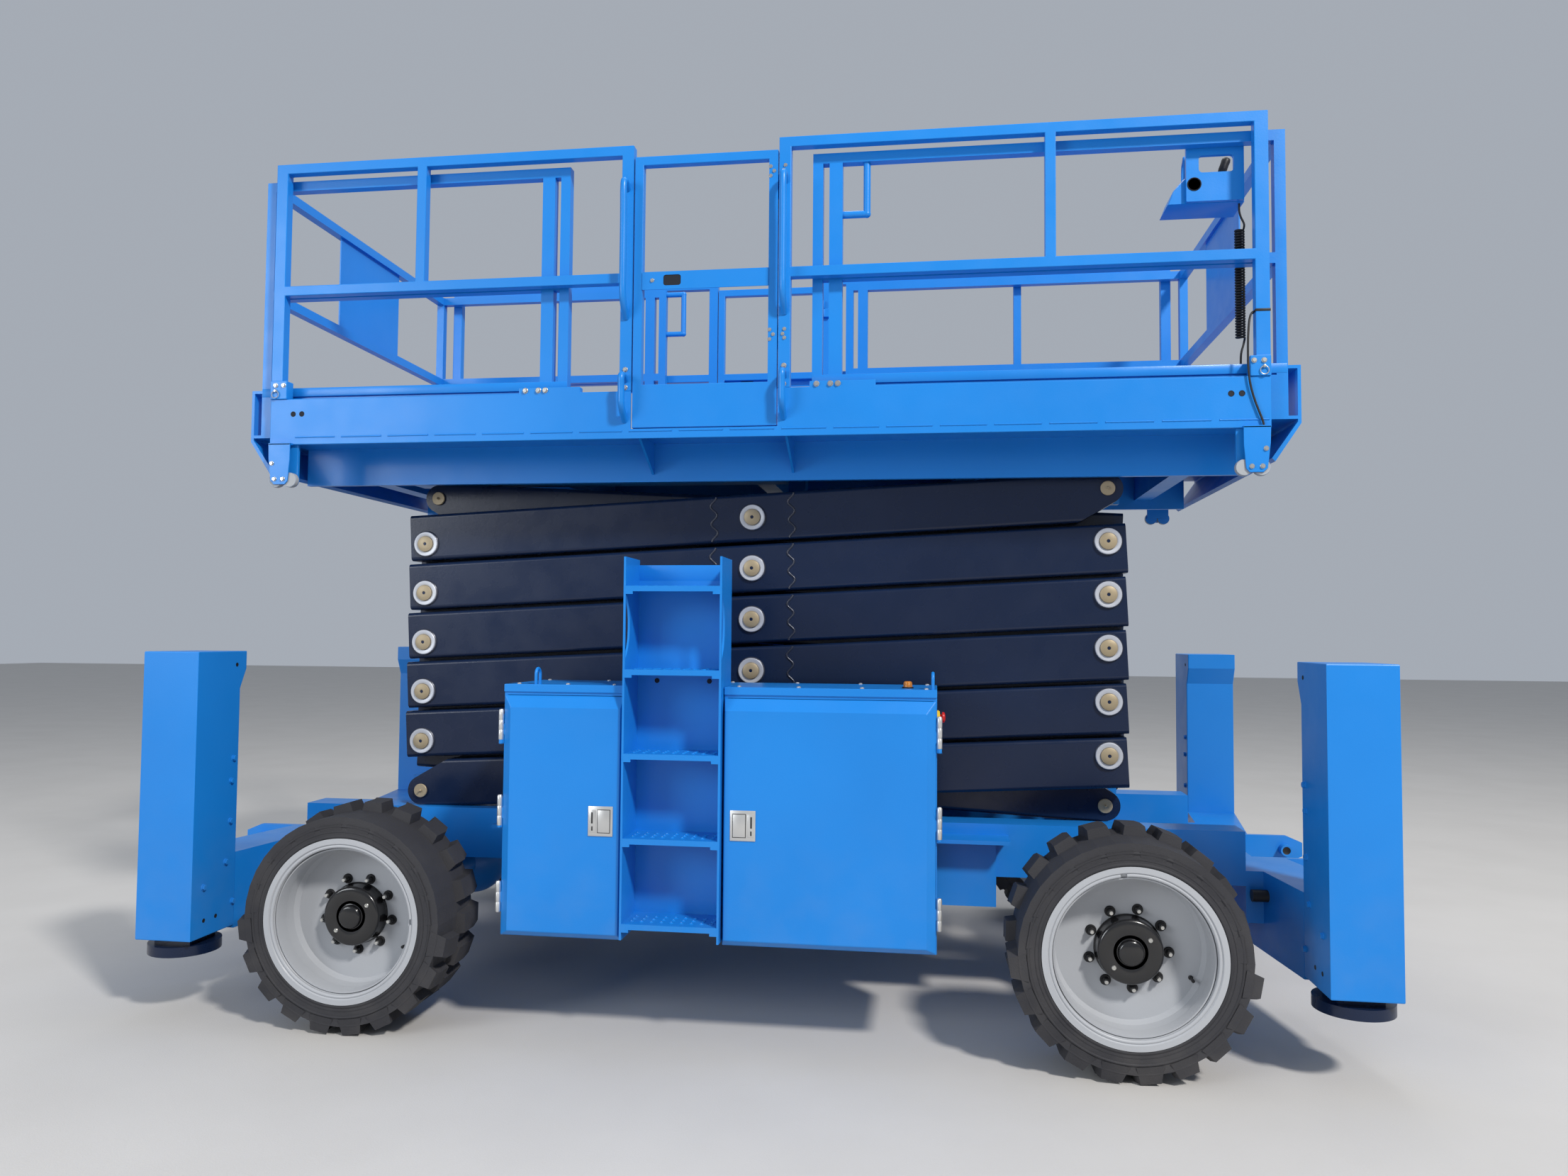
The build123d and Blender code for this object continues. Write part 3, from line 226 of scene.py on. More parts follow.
def swept(path, radius, count=10, lead=(0.0, 0.0, 1.0)):
    """A round bar along a path. At each point the ring lies square to the path, its first spoke is the
    lead direction made square to the path, and both ends close on the path's own end points."""
    path = np.asarray(path, float)
    tangent = np.gradient(path, axis=0)
    tangent = tangent / np.linalg.norm(tangent, axis=1)[:, None]
    first = np.asarray(lead) - (tangent @ np.asarray(lead))[:, None] * tangent
    first = first / np.linalg.norm(first, axis=1)[:, None]
    second = np.cross(tangent, first)
    angle = np.linspace(0, 2 * np.pi, count + 1)[None, :, None]
    ring = np.cos(angle) * first[:, None] + np.sin(angle) * second[:, None]
    reach = np.broadcast_to(radius, len(path))[:, None, None]
    body = path[:, None] + reach * ring
    return np.concatenate([path[:1, None] + 0 * ring[:1], body, path[-1:, None] + 0 * ring[-1:]])


seat = [(0.2685, 1.170), (0.2665, 1.176), (0.262, 1.176), (0.260, 1.168), (0.259, 1.12), (0.2635, 1.12)]
drum = [(0.1165, 1.0533), (0.1165, 1.058), (0.1150, 1.060), (0.1125, 1.0615), (0.1115, 1.064)]
drum += [(0.1115, 1.103), (0.1105, 1.109), (0.1065, 1.1145), (0.100, drum_face), (0.062, drum_face)]
drum += [(0.058, 1.1150), (0.047, 1.1150), (0.0445, drum_face), (0.043, 1.126), (0.040, 1.1305)]
drum += [(0.034, 1.1325), (0.0, 1.1335)]
stud_washer = [(0, 0), (0.0188, 0), (0.0188, 0.004), (0.0165, 0.007), (0.012, 0.007), (0, 0.007)]
stud_nut = [(0, 0.007), (0.0125, 0.007), (0.0125, 0.021), (0.0105, 0.0245), (0.0082, 0.0245), (0, 0.0245)]
stud_thread = [(0.0072, 0.024), (0.0072, 0.034), (0.0058, 0.036), (0, 0.036)]
drum_screw = [(0, 0), (0.0085, 0), (0.0085, 0.003), (0.0065, 0.0055), (0.0038, 0.0055)]
drum_screw += [(0.0034, 0.0035), (0, 0.0035)]
valve_stem = [(0, 0), (0.008, 0), (0.008, 0.004), (0.0045, 0.006), (0.0045, 0.03)]
valve_stem += [(0.006, 0.031), (0.006, 0.042), (0, 0.043)]
sidewall_rings = [
    [(0.3455, 1.1905), (0.347, 1.1935), (0.3505, 1.1945), (0.354, 1.1935), (0.3555, 1.1905)],
    [(0.3070, 1.1905), (0.3080, 1.1930), (0.3110, 1.1942), (0.3150, 1.1935), (0.3190, 1.1905)],
    [(0.3270, 1.1907), (0.3276, 1.1922), (0.3284, 1.1922), (0.3290, 1.1907)],
]
for corner in stud_angle:
    end = 1 if "front" in corner else -1
    side = -1 if "near" in corner else 1
    body = "road_wheel_" + corner
    finish_node("wheel_" + corner, silver)
    finish_node("tyre_" + corner, rubber)
    hub = np.array((end * axle_x, 0.0, axle_z))
    out = (0, side, 0)

    around = np.radians(split_angle[corner] + np.linspace(split_half, 360 - split_half, 120))
    level = np.full(120, side * ring_face)
    ring = np.stack([ring_reach * np.cos(around), level, ring_reach * np.sin(around)], -1)
    lock_ring = [swept(hub + ring, ring_thick, 10, (0.0, 1.0, 0.0)), turned(seat, hub, out, 96)]
    piece("lock_ring_" + corner, lock_ring, silver, body)
    piece("hub_drum_" + corner, [turned(drum, hub, out, 64)], hub_black, body)

    bright_parts, dark_parts = [], []
    for k in range(stud_count):
        turn = np.radians(stud_angle[corner] + 360 / stud_count * k)
        foot = hub + np.array((stud_circle * np.cos(turn), side * dish_face, stud_circle * np.sin(turn)))
        dark_parts.append(turned(stud_washer, foot, out, 24))
        dark_parts.append(turned(stud_nut, foot, out, 6, turn))
        bright_parts.append(turned(stud_thread, foot, out, 14))
    for turn in (0.6, 3.9):
        foot = hub + np.array((screw_circle * np.cos(turn), side * drum_face, screw_circle * np.sin(turn)))
        bright_parts.append(turned(drum_screw, foot, out, 16))
    turn = np.radians(stud_angle[corner] + 60)
    foot = hub + np.array((valve_circle * np.cos(turn), side * dish_face, valve_circle * np.sin(turn)))
    dark_parts.append(turned(valve_stem, foot, out, 14))
    piece("wheel_nuts_" + corner, bright_parts, zinc, body, 30)
    piece("wheel_washers_" + corner, dark_parts, oxide, body)

    for face, inner in (("outer", 1), ("inner", -1)):
        shells = []
        for profile in sidewall_rings:
            placed = [(r, side * (tyre_middle + inner * (y - tyre_middle))) for r, y in profile]
            shells.append(turned(placed, hub, (0, 1, 0), 96))
        piece(f"sidewall_rings_{corner}_{face}", shells, sidewall, body, 60)

# The outrigger legs are square tube on round foot plates, sprayed black like the scissor arms. The
# housings round them are folded plate, bolted through their inner walls to the frames. The holes in those
# walls are flat dark discs with a low rim, painted shade for the dark inside the holes.
housing_wall, leg_x, leg_y, foot_top = 2.054, 2.1695, 1.027, 0.277
wall_bolts = (0.928, 0.98), (0.939, 0.89), (0.938, 0.729), (0.960, 0.57), (1.090, 0.497), (0.912, 0.404)
wall_holes = (0.922, 1.357), (1.011, 0.369), (1.082, 0.368)
wall_hole_shade = [(0, 0.0006), (0.0055, 0.0006), (0.006, 0.0014), (0.0078, 0.0012), (0.0082, 0.0), (0, 0.0)]
foot_collar = [(0, 0.0), (0.068, 0.0), (0.068, 0.006), (0.058, 0.012), (0.052, 0.020)]
foot_collar += [(0.040, 0.024), (0.0, 0.026)]
arm_black = sprayed("arm_enamel", (0.0045, 0.012, 0.038), (0.006, 0.015, 0.045), 0.27)


def bolt(centre, axis, size):
    """A hexagon head on a round washer, both turned about the same axis, with a chamfer on the head."""
    washer = [(0, 0), (1.1, 0), (1.1, 0.12), (1.0, 0.2), (0, 0.2)]
    head = [(0, 0.2), (0.92, 0.2), (0.92, 0.75), (0.78, 0.86), (0, 0.86)]
    return [
        turned(np.multiply(washer, size), centre, axis, 18),
        turned(np.multiply(head, size), centre, axis, 6, 0.3),
    ]


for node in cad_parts:
    if "outrigger_leg" in node:
        finish_node(node, arm_black)
for end, front in ((-1, "rear"), (1, "front")):
    for side, near in ((-1, "near"), (1, "far")):
        corner = f"{front}_{near}"
        inward = (-end, 0, 0)
        heads, hole_shades = [], []
        for y, z in wall_bolts:
            heads += bolt((end * housing_wall, side * y, z), inward, 0.012)
        # Each hole is a dark disc on the wall: painted shade, not an opening.
        for y, z in wall_holes:
            hole_shades.append(turned(wall_hole_shade, (end * housing_wall, side * y, z), inward, 20))
        piece("housing_bolts_" + corner, heads, azure, "chassis", 30)
        piece("housing_hole_shades_" + corner, hole_shades, oxide, "chassis")
        collar = turned(foot_collar, (end * leg_x, side * leg_y, foot_top), (0, 0, 1), 36)
        piece("foot_collar_" + corner, [collar], oxide, "outrigger_leg_" + corner)

# The cabinets are folded sheet with bevelled doors on stainless hinges. Each door has a recessed
# stainless paddle latch, and the lids carry lifting eyes, screws and one amber lamp. The gaps round the
# paddle and its slots are thin dark strips, painted shade for the recess.
door_skin, latch_width, latch_low, latch_high = 1.130, 0.093, 0.754, 0.863
hinge_y, hinge_feet, knuckle_length = 1.107, (0.460, 0.778, 1.096), 0.0365
lid_top, eye_y, eye_spring = 1.303, 1.066, 1.339
stainless_tones = (0.55, 0.55, 0.54), (0.63, 0.63, 0.62)
stainless = sprayed("stainless", *stainless_tones, 0.36, coat=0.0, metal=0.70, grain=420.0)
# The latch gaps get a dark metal: painted shade in the recess round the paddle.
latch_gap_shade = sprayed("latch_gap_painted_shade", (0.035, 0.036, 0.038), (0.05, 0.05, 0.052), 0.5, coat=0.0, metal=0.5)
hinge_knuckle = [(0, 0), (0.0086, 0), (0.0093, 0.001), (0.0093, 0.0345), (0.0086, 0.0355)]
hinge_knuckle += [(0.0086, knuckle_length)]
hinge_cap = [(0.0086, 3 * knuckle_length), (0.0065, 0.113), (0, 0.114)]
lid_screw = [(0, 0), (0.0085, 0), (0.0085, 0.0015), (0.006, 0.0045), (0, 0.0055)]
lid_rows = {
    0.722: (-0.80, -0.55, -0.29, -0.04, 0.22, 0.47, 0.73),
    1.078: (-0.79, -0.60, -0.42, 0.05, 0.27, 0.50, 0.73),
}


def rounded_block(low, high, radius, steps=3):
    """A block with rounded edges. A sphere of the edge radius is cut into eight, each eighth is moved out
    to its own corner, and the grid's cells between the eighths become the flat faces."""
    low, high = np.asarray(low, float), np.asarray(high, float)
    centre, half = (low + high) / 2, (high - low) / 2 - radius
    quarter = np.linspace(0, np.pi / 2, steps + 1)
    turn = np.concatenate([quarter + k * np.pi / 2 for k in (0, 1, 2, 3, 4)])[: 4 * steps + 5]
    tilt = np.concatenate([quarter, quarter + np.pi / 2])[:, None]
    quadrant = np.arange(len(turn)) // (steps + 1) % 4
    sign_x, sign_y = np.array((1, -1, -1, 1))[quadrant], np.array((1, 1, -1, -1))[quadrant]
    sign_z = np.where(np.arange(len(tilt)) <= steps, 1, -1)[:, None]
    x = centre[0] + half[0] * sign_x + radius * np.sin(tilt) * np.cos(turn)
    y = centre[1] + half[1] * sign_y + radius * np.sin(tilt) * np.sin(turn)
    z = centre[2] + half[2] * sign_z + radius * np.cos(tilt) + 0 * turn
    body = np.stack([x, y, z], -1)
    ends = np.broadcast_to(centre, (2, body.shape[1], 3)).copy()
    ends[0, :, 2], ends[1, :, 2] = high[2], low[2]
    return np.concatenate([ends[:1], body, ends[1:]])


for side, near in ((-1, "near"), (1, "far")):
    for door, latch_from, hinge_x, free in (("front", 0.031, 0.777, 1), ("rear", -0.497, -0.847, -1)):
        body = f"door_{near}_{door}"
        skin = side * door_skin
        middle = (latch_from + latch_from + latch_width) / 2

        def latch_block(out_from, out_to, share_from, share_to, low, high, edge):
            """A thin rounded block on the door skin, placed by shares of the latch's width from its free
            edge."""
            ends = [middle + free * latch_width / 2 * (2 * share - 1) for share in (share_from, share_to)]
            box = np.array(((ends[0], skin + side * out_from, low), (ends[1], skin + side * out_to, high)))
            return rounded_block(box.min(0), box.max(0), edge, 2)

        metal_parts = [
            latch_block(-0.001, 0.0036, 0, 1, latch_low, latch_high, 0.0016),
            latch_block(0.003, 0.0058, 0.12, 0.60, latch_low + 0.014, latch_high - 0.014, 0.0012),
            latch_block(0.003, 0.0050, 0.68, 0.94, latch_low + 0.014, latch_high - 0.014, 0.0009),
        ]
        piece("latch_" + body, metal_parts, stainless, body)
        # Thin dark strips under and beside the paddle are painted shade for its gaps and slots.
        gap_shade_parts = [
            latch_block(0.003, 0.0040, 0.095, 0.625, latch_low + 0.0115, latch_high - 0.0115, 0.0004),
            latch_block(0.004, 0.0055, 0.80, 0.87, latch_low + 0.046, latch_high - 0.022, 0.0004),
            latch_block(0.004, 0.0055, 0.80, 0.86, latch_low + 0.020, latch_low + 0.036, 0.0004),
        ]
        piece("latch_gap_shades_" + body, gap_shade_parts, latch_gap_shade, body)
        barrels = []
        for hinge_foot in hinge_feet:
            hinge = (hinge_x, side * hinge_y, hinge_foot)
            for k in range(3):
                barrels.append(turned(np.add(hinge_knuckle, (0, k * knuckle_length)), hinge, (0, 0, 1), 18))
            barrels.append(turned(hinge_cap, hinge, (0, 0, 1), 18))
        piece("hinge_barrels_" + body, barrels, stainless, "chassis")
    screws, eyes = [], []
    for y, row in lid_rows.items():
        screws += [turned(lid_screw, (x, side * y, lid_top), (0, 0, 1), 14) for x in row]
    for x in (0.753, -0.722):
        turn = np.linspace(0, np.pi, 25)
        rise = eye_spring + 0.022 * np.sin(turn)
        arch = np.stack([np.full(25, x), side * eye_y + 0.021 * np.cos(turn), rise], -1)
        first_foot, last_foot = arch[0] - (0, 0, 0.037), arch[-1] - (0, 0, 0.037)
        first_leg, last_leg = np.linspace(first_foot, arch[0], 6), np.linspace(arch[-1], last_foot, 6)
        loop = np.concatenate([first_leg[:-1], arch, last_leg[1:]])
        eyes.append(swept(loop, 0.006, 12, (1.0, 0.0, 0.0)))
    piece("lid_screws_" + near, screws, stainless, "chassis")
    piece("lifting_eyes_" + near, eyes, azure, "chassis")

# The lamp is a ribbed amber lens on a black foot, and the stop button is a red mushroom on a yellow
# collar at the front end of the near cabinet.
lamp_place, stop_place = (0.662, -1.0, lid_top), (0.768, -1.0, 1.199)
amber = sprayed("amber_lens", (0.62, 0.20, 0.012), (0.70, 0.25, 0.02), 0.18, coat=0.6)
amber.node_tree.nodes["Principled BSDF"].inputs["Transmission Weight"].default_value = 0.25
red = sprayed("stop_red", (0.50, 0.012, 0.010), (0.56, 0.016, 0.012), 0.32)
yellow = sprayed("collar_yellow", (0.70, 0.46, 0.02), (0.76, 0.50, 0.03), 0.4)
rise = np.linspace(0, 1, 24)
lens_reach = 0.0165 * np.sqrt(np.clip(1 - (0.80 * rise) ** 4, 0, 1)) * (1 + 0.02 * np.cos(rise * 30))
lens_wall = np.stack([lens_reach, 0.005 + 0.020 * rise], -1)
lens = np.concatenate([[(0, 0.005)], lens_wall, [(0.008, 0.0258), (0, 0.0262)]])
piece("lamp_lens", [turned(lens, lamp_place, (0, 0, 1), 40)], amber, "chassis", 60)
lamp_foot = [(0, 0), (0.0215, 0), (0.0215, 0.003), (0.0195, 0.0055), (0, 0.0055)]
piece("lamp_foot", [turned(lamp_foot, lamp_place, (0, 0, 1), 40)], oxide, "chassis")
button = [(0, 0.010), (0.011, 0.010), (0.012, 0.016), (0.0195, 0.018), (0.0205, 0.021)]
button += [(0.0185, 0.0265), (0.010, 0.0295), (0, 0.030)]
button_collar = [(0, 0), (0.026, 0), (0.026, 0.005), (0.021, 0.010), (0, 0.010)]
piece("stop_button", [turned(button, stop_place, (1, 0, 0), 32)], red, "chassis")
piece("stop_collar", [turned(button_collar, stop_place, (1, 0, 0), 32)], yellow, "chassis")

# The ladders are folded plate trays between side plates. The back sheet rises over the top tread and has
# two drilled holes, drawn as flat dark discs that are painted shade. Each side plate has a hand hole, and
# rows of raised dimples are pressed in the treads.
tread_count, first_tread, tread_rise = 5, 0.446, 0.306
back_low, back_high = (-0.3698, 0.9602, 1.690), (-0.0032, 0.9678, 1.757)
plate_half, back_face, back_hole_z = 0.0039, 0.968, 1.3175
dimple = [(0.009, 0.0), (0.0065, 0.0028), (0.0045, 0.003), (0.0035, 0.001), (0, 0.001)]
back_hole_shade = [(0, 0.0006), (0.0065, 0.0006), (0.0075, 0.0014), (0.0092, 0.0012), (0.0096, 0.0), (0, 0.0)]
# This bluish near black is painted shade: it stands for the dark inside holes, slots and openings.
painted_shade_dark = sprayed("painted_hole_shade", (0.006, 0.008, 0.014), (0.009, 0.012, 0.020), 0.7, coat=0.0)


def rounded_loop(low, high, radius, steps=5):
    """A rectangle's outline with round corners: a quarter circle at each corner, in turn."""
    quarter = np.linspace(0, np.pi / 2, steps)
    turn = np.concatenate([quarter + k * np.pi / 2 for k in range(4)])
    sign = np.repeat(np.array(((1, 1), (-1, 1), (-1, -1), (1, -1))), steps, 0)
    low, high = np.asarray(low, float), np.asarray(high, float)
    centres = (low + high) / 2 + sign * ((high - low) / 2 - radius)
    return centres + radius * np.stack([np.cos(turn), np.sin(turn)], -1)


def pierced(outer, inner, y_from, y_to):
    """A plate with a hole. Two outlines with the same number of points are the plate's edge and the hole's,
    and the surface goes round through both at both faces."""
    outer, inner = np.concatenate([outer, outer[:1]]), np.concatenate([inner, inner[:1]])
    rows = ((outer, y_from), (outer, y_to), (inner, y_to), (inner, y_from), (outer, y_from))
    return np.stack([np.stack([row[:, 0], np.full(len(row), y), row[:, 1]], -1) for row, y in rows])


plate_edge = rounded_loop((1.082, 1.284), (1.1498, 1.696), 0.001)
turn = np.linspace(0, 2 * np.pi, len(plate_edge), endpoint=False) + np.pi / 8
bulge = np.where(np.cos(turn) < 0, 0.053 * (1 - np.abs(np.sin(turn)) ** 2.6), 0.0)
hand_hole = np.stack([1.1425 - bulge, 1.520 + 0.118 * np.sin(turn)], -1)
for side, near in ((-1, "near"), (1, "far")):
    dimples = []
    for k in range(tread_count):
        tread = first_tread + tread_rise * k
        for x in np.linspace(-0.335, -0.038, 9):
            dimples += [turned(dimple, (x, side * y, tread), (0, 0, 1), 10) for y in (1.035, 1.07, 1.105)]
    piece("tread_dimples_" + near, dimples, azure, "chassis", 60)
    back = np.array((back_low, back_high)) * (1, side, 1)
    plates = [rounded_block(back.min(0), back.max(0), 0.0015, 2)]
    for x in (-0.3660, -0.0070):
        flat = pierced(plate_edge, hand_hole, x - plate_half, x + plate_half)
        plates.append(flat[..., [1, 0, 2]] * (1, side, 1))
    piece("ladder_plates_" + near, plates, azure, "chassis", 30)
    # The drilled holes are dark discs in painted shade.
    hole_shades = []
    for x in (-0.287, -0.084):
        hole_shades.append(turned(back_hole_shade, (x, side * back_face, back_hole_z), (0, side, 0), 20))
    piece("ladder_hole_shades_" + near, hole_shades, painted_shade_dark, "chassis")

# The scissor arms are rectangular tube in gloss black with a navy cast. Brass pins with flush ends run
# through silver collars that are welded to the arms, with a wavy weld each side of the centre.
stage_count, pin_end_x, pin_rise, first_pin = 6, 1.44605, 0.214, 0.81
slope = np.arctan(0.154 / (2 * pin_end_x))
seam_offset, seam_half, seam_wave, seam_thick, arm_face = 0.165, 0.094, 0.013, 0.0042, 0.521
brass_tones = (0.33, 0.265, 0.165), (0.40, 0.33, 0.22)
brass = sprayed("pin_brass", *brass_tones, 0.50, coat=0.0, metal=0.35, grain=300.0)
collar_silver = sprayed("collar_silver", (0.46, 0.48, 0.53), (0.53, 0.55, 0.59), 0.45, coat=0, metal=0.35)
weld_grey = sprayed("weld_grey", (0.030, 0.036, 0.055), (0.045, 0.050, 0.070), 0.32, metal=0.3)
chrome = sprayed("rod_chrome", (0.62, 0.63, 0.65), (0.68, 0.69, 0.70), 0.10, peel=0, coat=0, metal=1.0)
pin_end = [(0, 0.5300), (0.0338, 0.5300), (0.0338, 0.5388), (0.0318, 0.5402), (0.0078, 0.5402)]
pin_end += [(0.0064, 0.5386), (0, 0.5386)]
pin_collar = [(0.0345, 0.522), (0.0345, 0.5318), (0.0365, 0.5330), (0.0510, 0.5330)]
pin_collar += [(0.0530, 0.5312), (0.0530, 0.5205)]
collar_weld = [(0.0525, 0.5205), (0.0580, 0.5207), (0.0565, 0.5235), (0.0530, 0.5255)]
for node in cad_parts:
    if "_arms_" in node or "barrel" in node:
        finish_node(node, arm_black)
    if "_rod" in node:
        finish_node(node, chrome)
for k in range(1, stage_count + 1):
    low, high = first_pin + pin_rise * (k - 1), first_pin + pin_rise * k
    places = [(0.0, (low + high) / 2)]
    if k > 1:
        places.append((-pin_end_x, low))
    if k < stage_count:
        places.append((pin_end_x, high))
    discs, collars, welds = [], [], []
    for side in (-1, 1):
        out = (0, side, 0)
        for x, z in places:
            discs.append(turned(pin_end, (x, 0, z), out, 40))
            collars.append(turned(pin_collar, (x, 0, z), out, 40))
            welds.append(turned(collar_weld, (x, 0, z), out, 40))
        for along in (-seam_offset, seam_offset):
            t = np.linspace(-1, 1, 60)
            shift = along + seam_wave * np.sin(t * np.pi * 2.5)
            x = shift * np.cos(slope) - seam_half * t * np.sin(slope)
            z = (low + high) / 2 + shift * np.sin(slope) + seam_half * t * np.cos(slope)
            path = np.stack([x, np.full(60, side * arm_face), z], -1)
            welds.append(swept(path, seam_thick * (1 + 0.22 * np.cos(t * 90)), 8, (0.0, 1.0, 0.0)))
    body = f"outer_arms_{k}"
    piece(f"pin_ends_{k}", discs, brass, body)
    piece(f"pin_collars_{k}", collars, collar_silver, body)
    piece(f"arm_welds_{k}", welds, weld_grey, body, 70)

# At the four sliding and fixed noses of the stack a slimmer brass pin stands a little proud, with a
# grease nipple in the middle of its end.
last_pin, outer_nose, inner_nose = first_pin + stage_count * pin_rise, 0.529, 0.417
noses = {
    "outer_arms_1": (-pin_end_x, first_pin, outer_nose),
    "inner_arms_6": (-pin_end_x, last_pin, inner_nose),
    "chassis": (pin_end_x, first_pin, inner_nose),
    "platform": (pin_end_x, last_pin, outer_nose),
}
nose_pin = [(0.0, -0.004), (0.0292, -0.004), (0.0292, 0.0012), (0.0272, 0.0030), (0.0, 0.0030)]
nipple = [(0.0062, 0.003), (0.0062, 0.007), (0.0038, 0.009), (0.0034, 0.013), (0.0042, 0.0145)]
nipple += [(0.0028, 0.017), (0, 0.0172)]
for body, (x, z, face) in noses.items():
    heads = []
    for side in (-1, 1):
        heads.append(turned(np.add(nose_pin, (0, face)), (x, 0, z), (0, side, 0), 36))
        heads.append(turned(np.add(nipple, (0, face)), (x, 0, z), (0, side, 0), 14))
    piece("nose_pins_" + body, heads, brass, body)

# The lift cylinders have a gland nut with spanner flats screwed into the mouth of the barrel, a wiper
# seal in it, and a chromed rod.
thrust, barrel_length, barrel_foot = np.array((0.999777, 0, 0.021136)), 0.9, 0.2496
gland = [(0.0475, -0.002), (0.080, -0.004), (0.083, 0.0), (0.083, 0.030), (0.078, 0.036)]
gland += [(0.060, 0.038), (0.0475, 0.038)]
flats = [(0.074, -0.10), (0.0795, -0.098), (0.0795, -0.060), (0.074, -0.058)]
for name, base_z in (("lower", 0.9037), ("upper", 1.5457)):
    mouth = np.array((barrel_foot, 0, base_z)) + barrel_length * thrust
    shells = [turned(gland, mouth, thrust, 48), turned(flats, mouth, thrust, 12)]
    piece(f"gland_nut_{name}", shells, oxide, f"{name}_barrel")

# The platform is a deck on folded beams with a fascia down each side. Nylon guide rollers turn behind
# bracket plates at its corners, and the fascia has drilled holes, stitch welds and bolted slide bars.
# Each drilled hole is a dark eyelet with a low rim, painted shade for the hole.
fascia_face, bracket_back, bracket_face, roller_z = 0.868, 0.8812, 0.8872, 2.117
stitch_z, stitch_thick, eyelet_z, bar_bolt_z = 2.295, 0.0034, 2.392, 2.466
nylon = sprayed("roller_nylon", (0.30, 0.32, 0.34), (0.36, 0.38, 0.40), 0.5, coat=0.0)
roller = [(0, 0.857), (0.0285, 0.857), (0.0302, 0.859), (0.0302, 0.878), (0.0285, 0.8805)]
roller += [(0.013, 0.8805), (0, 0.8805)]
bracket = [(1.872, 2.268), (1.968, 2.268), (1.966, 2.205), (1.955, 2.112), (1.940, 2.098)]
bracket += [(1.892, 2.098), (1.880, 2.112), (1.872, 2.20)]
eyelet = [(0.0, 0.8683), (0.0085, 0.8683), (0.0092, 0.8693), (0.0108, 0.8693), (0.0115, 0.868)]
eyelet += [(0.0115, 0.867), (0, 0.867)]
rollers, roller_bolts, brackets, hole_shade_eyelets, stitches, bar_bolts = [], [], [], [], [], []


def extruded(outline, y_from, y_to, bevel):
    """A plate or wedge. An outline in X and Z is carried from one Y to the other, drawn in towards its
    middle over the bevel at both ends, and closed on its middle point."""
    outline = np.asarray(outline, float)
    loop = np.concatenate([outline, outline[:1]])
    middle = outline.mean(0)
    toward = middle - loop
    inset = loop + bevel * toward / np.linalg.norm(toward, axis=1)[:, None]
    step = bevel * np.sign(y_to - y_from)
    rows = ((middle + 0 * loop, y_from), (inset, y_from), (loop, y_from + step))
    rows += ((loop, y_to - step), (inset, y_to), (middle + 0 * loop, y_to))
    return np.stack([np.stack([row[:, 0], np.full(len(row), y), row[:, 1]], -1) for row, y in rows])


for side in (-1, 1):
    out = (0, side, 0)
    for end in (-1, 1):
        rollers += [turned(roller, (end * x, 0, roller_z), out, 32) for x in (1.937, 1.875)]
        edge = [(end * x, z) for x, z in bracket]
        brackets.append(extruded(edge, side * bracket_back, side * bracket_face, 0.0015))
        hanger = np.array(((end * 1.872, side * 0.866, 2.262), (end * 1.968, side * bracket_face, 2.270)))
        brackets.append(rounded_block(hanger.min(0), hanger.max(0), 0.001, 1))
        for x, z in ((1.937, 2.120), (1.900, 2.120), (1.950, 2.185)):
            roller_bolts += bolt((end * x, side * bracket_face, z), out, 0.0085)
        # Dark eyelets in painted shade stand for the drilled holes.
        hole_shade_eyelets += [turned(eyelet, (end * x, 0, eyelet_z), out, 24) for x in (1.873, 1.835)]
    for x in np.arange(-1.86, 1.80, 0.203):
        along = np.linspace(x, x + 0.173, 24)
        bead = np.stack([along, np.full(24, side * 0.8675), np.full(24, stitch_z)], -1)
        stitches.append(swept(bead, stitch_thick * (1 + 0.10 * np.cos(np.arange(24) * 2.2)), 8))
    for bar_from in (-0.898, 0.277):
        for x in (0.027, 0.081, 0.110):
            bar_bolts += bolt((bar_from + x, side * fascia_face, bar_bolt_z), out, 0.0105)
piece("guide_rollers", rollers, nylon, "platform")
piece("roller_brackets", brackets, azure, "platform", 30)
piece("deck_bolts", roller_bolts + bar_bolts, zinc, "platform", 30)
piece("fascia_hole_shades", hole_shade_eyelets, painted_shade_dark, "platform")
piece("fascia_stitches", stitches, azure, "platform", 70)

# The guard rails are square tube with posts in bolted sleeves. A retaining pin with a pull ring goes
# through each corner sleeve, and bent grab handles of round tube are welded beside the gates.
post_x, sleeve_face, sleeve_bolt_z, pin_z, handle_thick = 1.95, 0.874, 2.512, 2.489, 0.0135
ring_y, ring_z, ring_radius, ring_wire = 0.879, 2.474, 0.015, 0.0018
pin_head = [(0, fascia_face), (0.007, fascia_face), (0.007, ring_y), (0.005, 0.882), (0, 0.883)]
tall_bar = [(0.862, 3.268), (0.905, 3.292), (0.928, 3.276), (0.921, 3.15), (0.921, 2.90)]
tall_bar += [(0.921, 2.83), (0.905, 2.79), (0.862, 2.748)]
short_bar = [(0.862, 2.498), (0.900, 2.514), (0.927, 2.505), (0.921, 2.46), (0.921, 2.42)]
short_bar += [(0.918, 2.385), (0.862, 2.336)]
post_bolts, pull_rings, handles = [], [], []


def eased(points, times=4):
    """A bent tube's centre line. Each corner is cut at a quarter and three quarters of its runs, several
    times over, while the two end points stay."""
    line = np.asarray(points, float)
    for _ in range(times):
        near_first = 0.75 * line[:-1] + 0.25 * line[1:]
        near_last = 0.25 * line[:-1] + 0.75 * line[1:]
        cut = np.stack([near_first, near_last], 1).reshape(-1, 3)
        line = np.concatenate([line[:1], cut, line[-1:]])
    return line


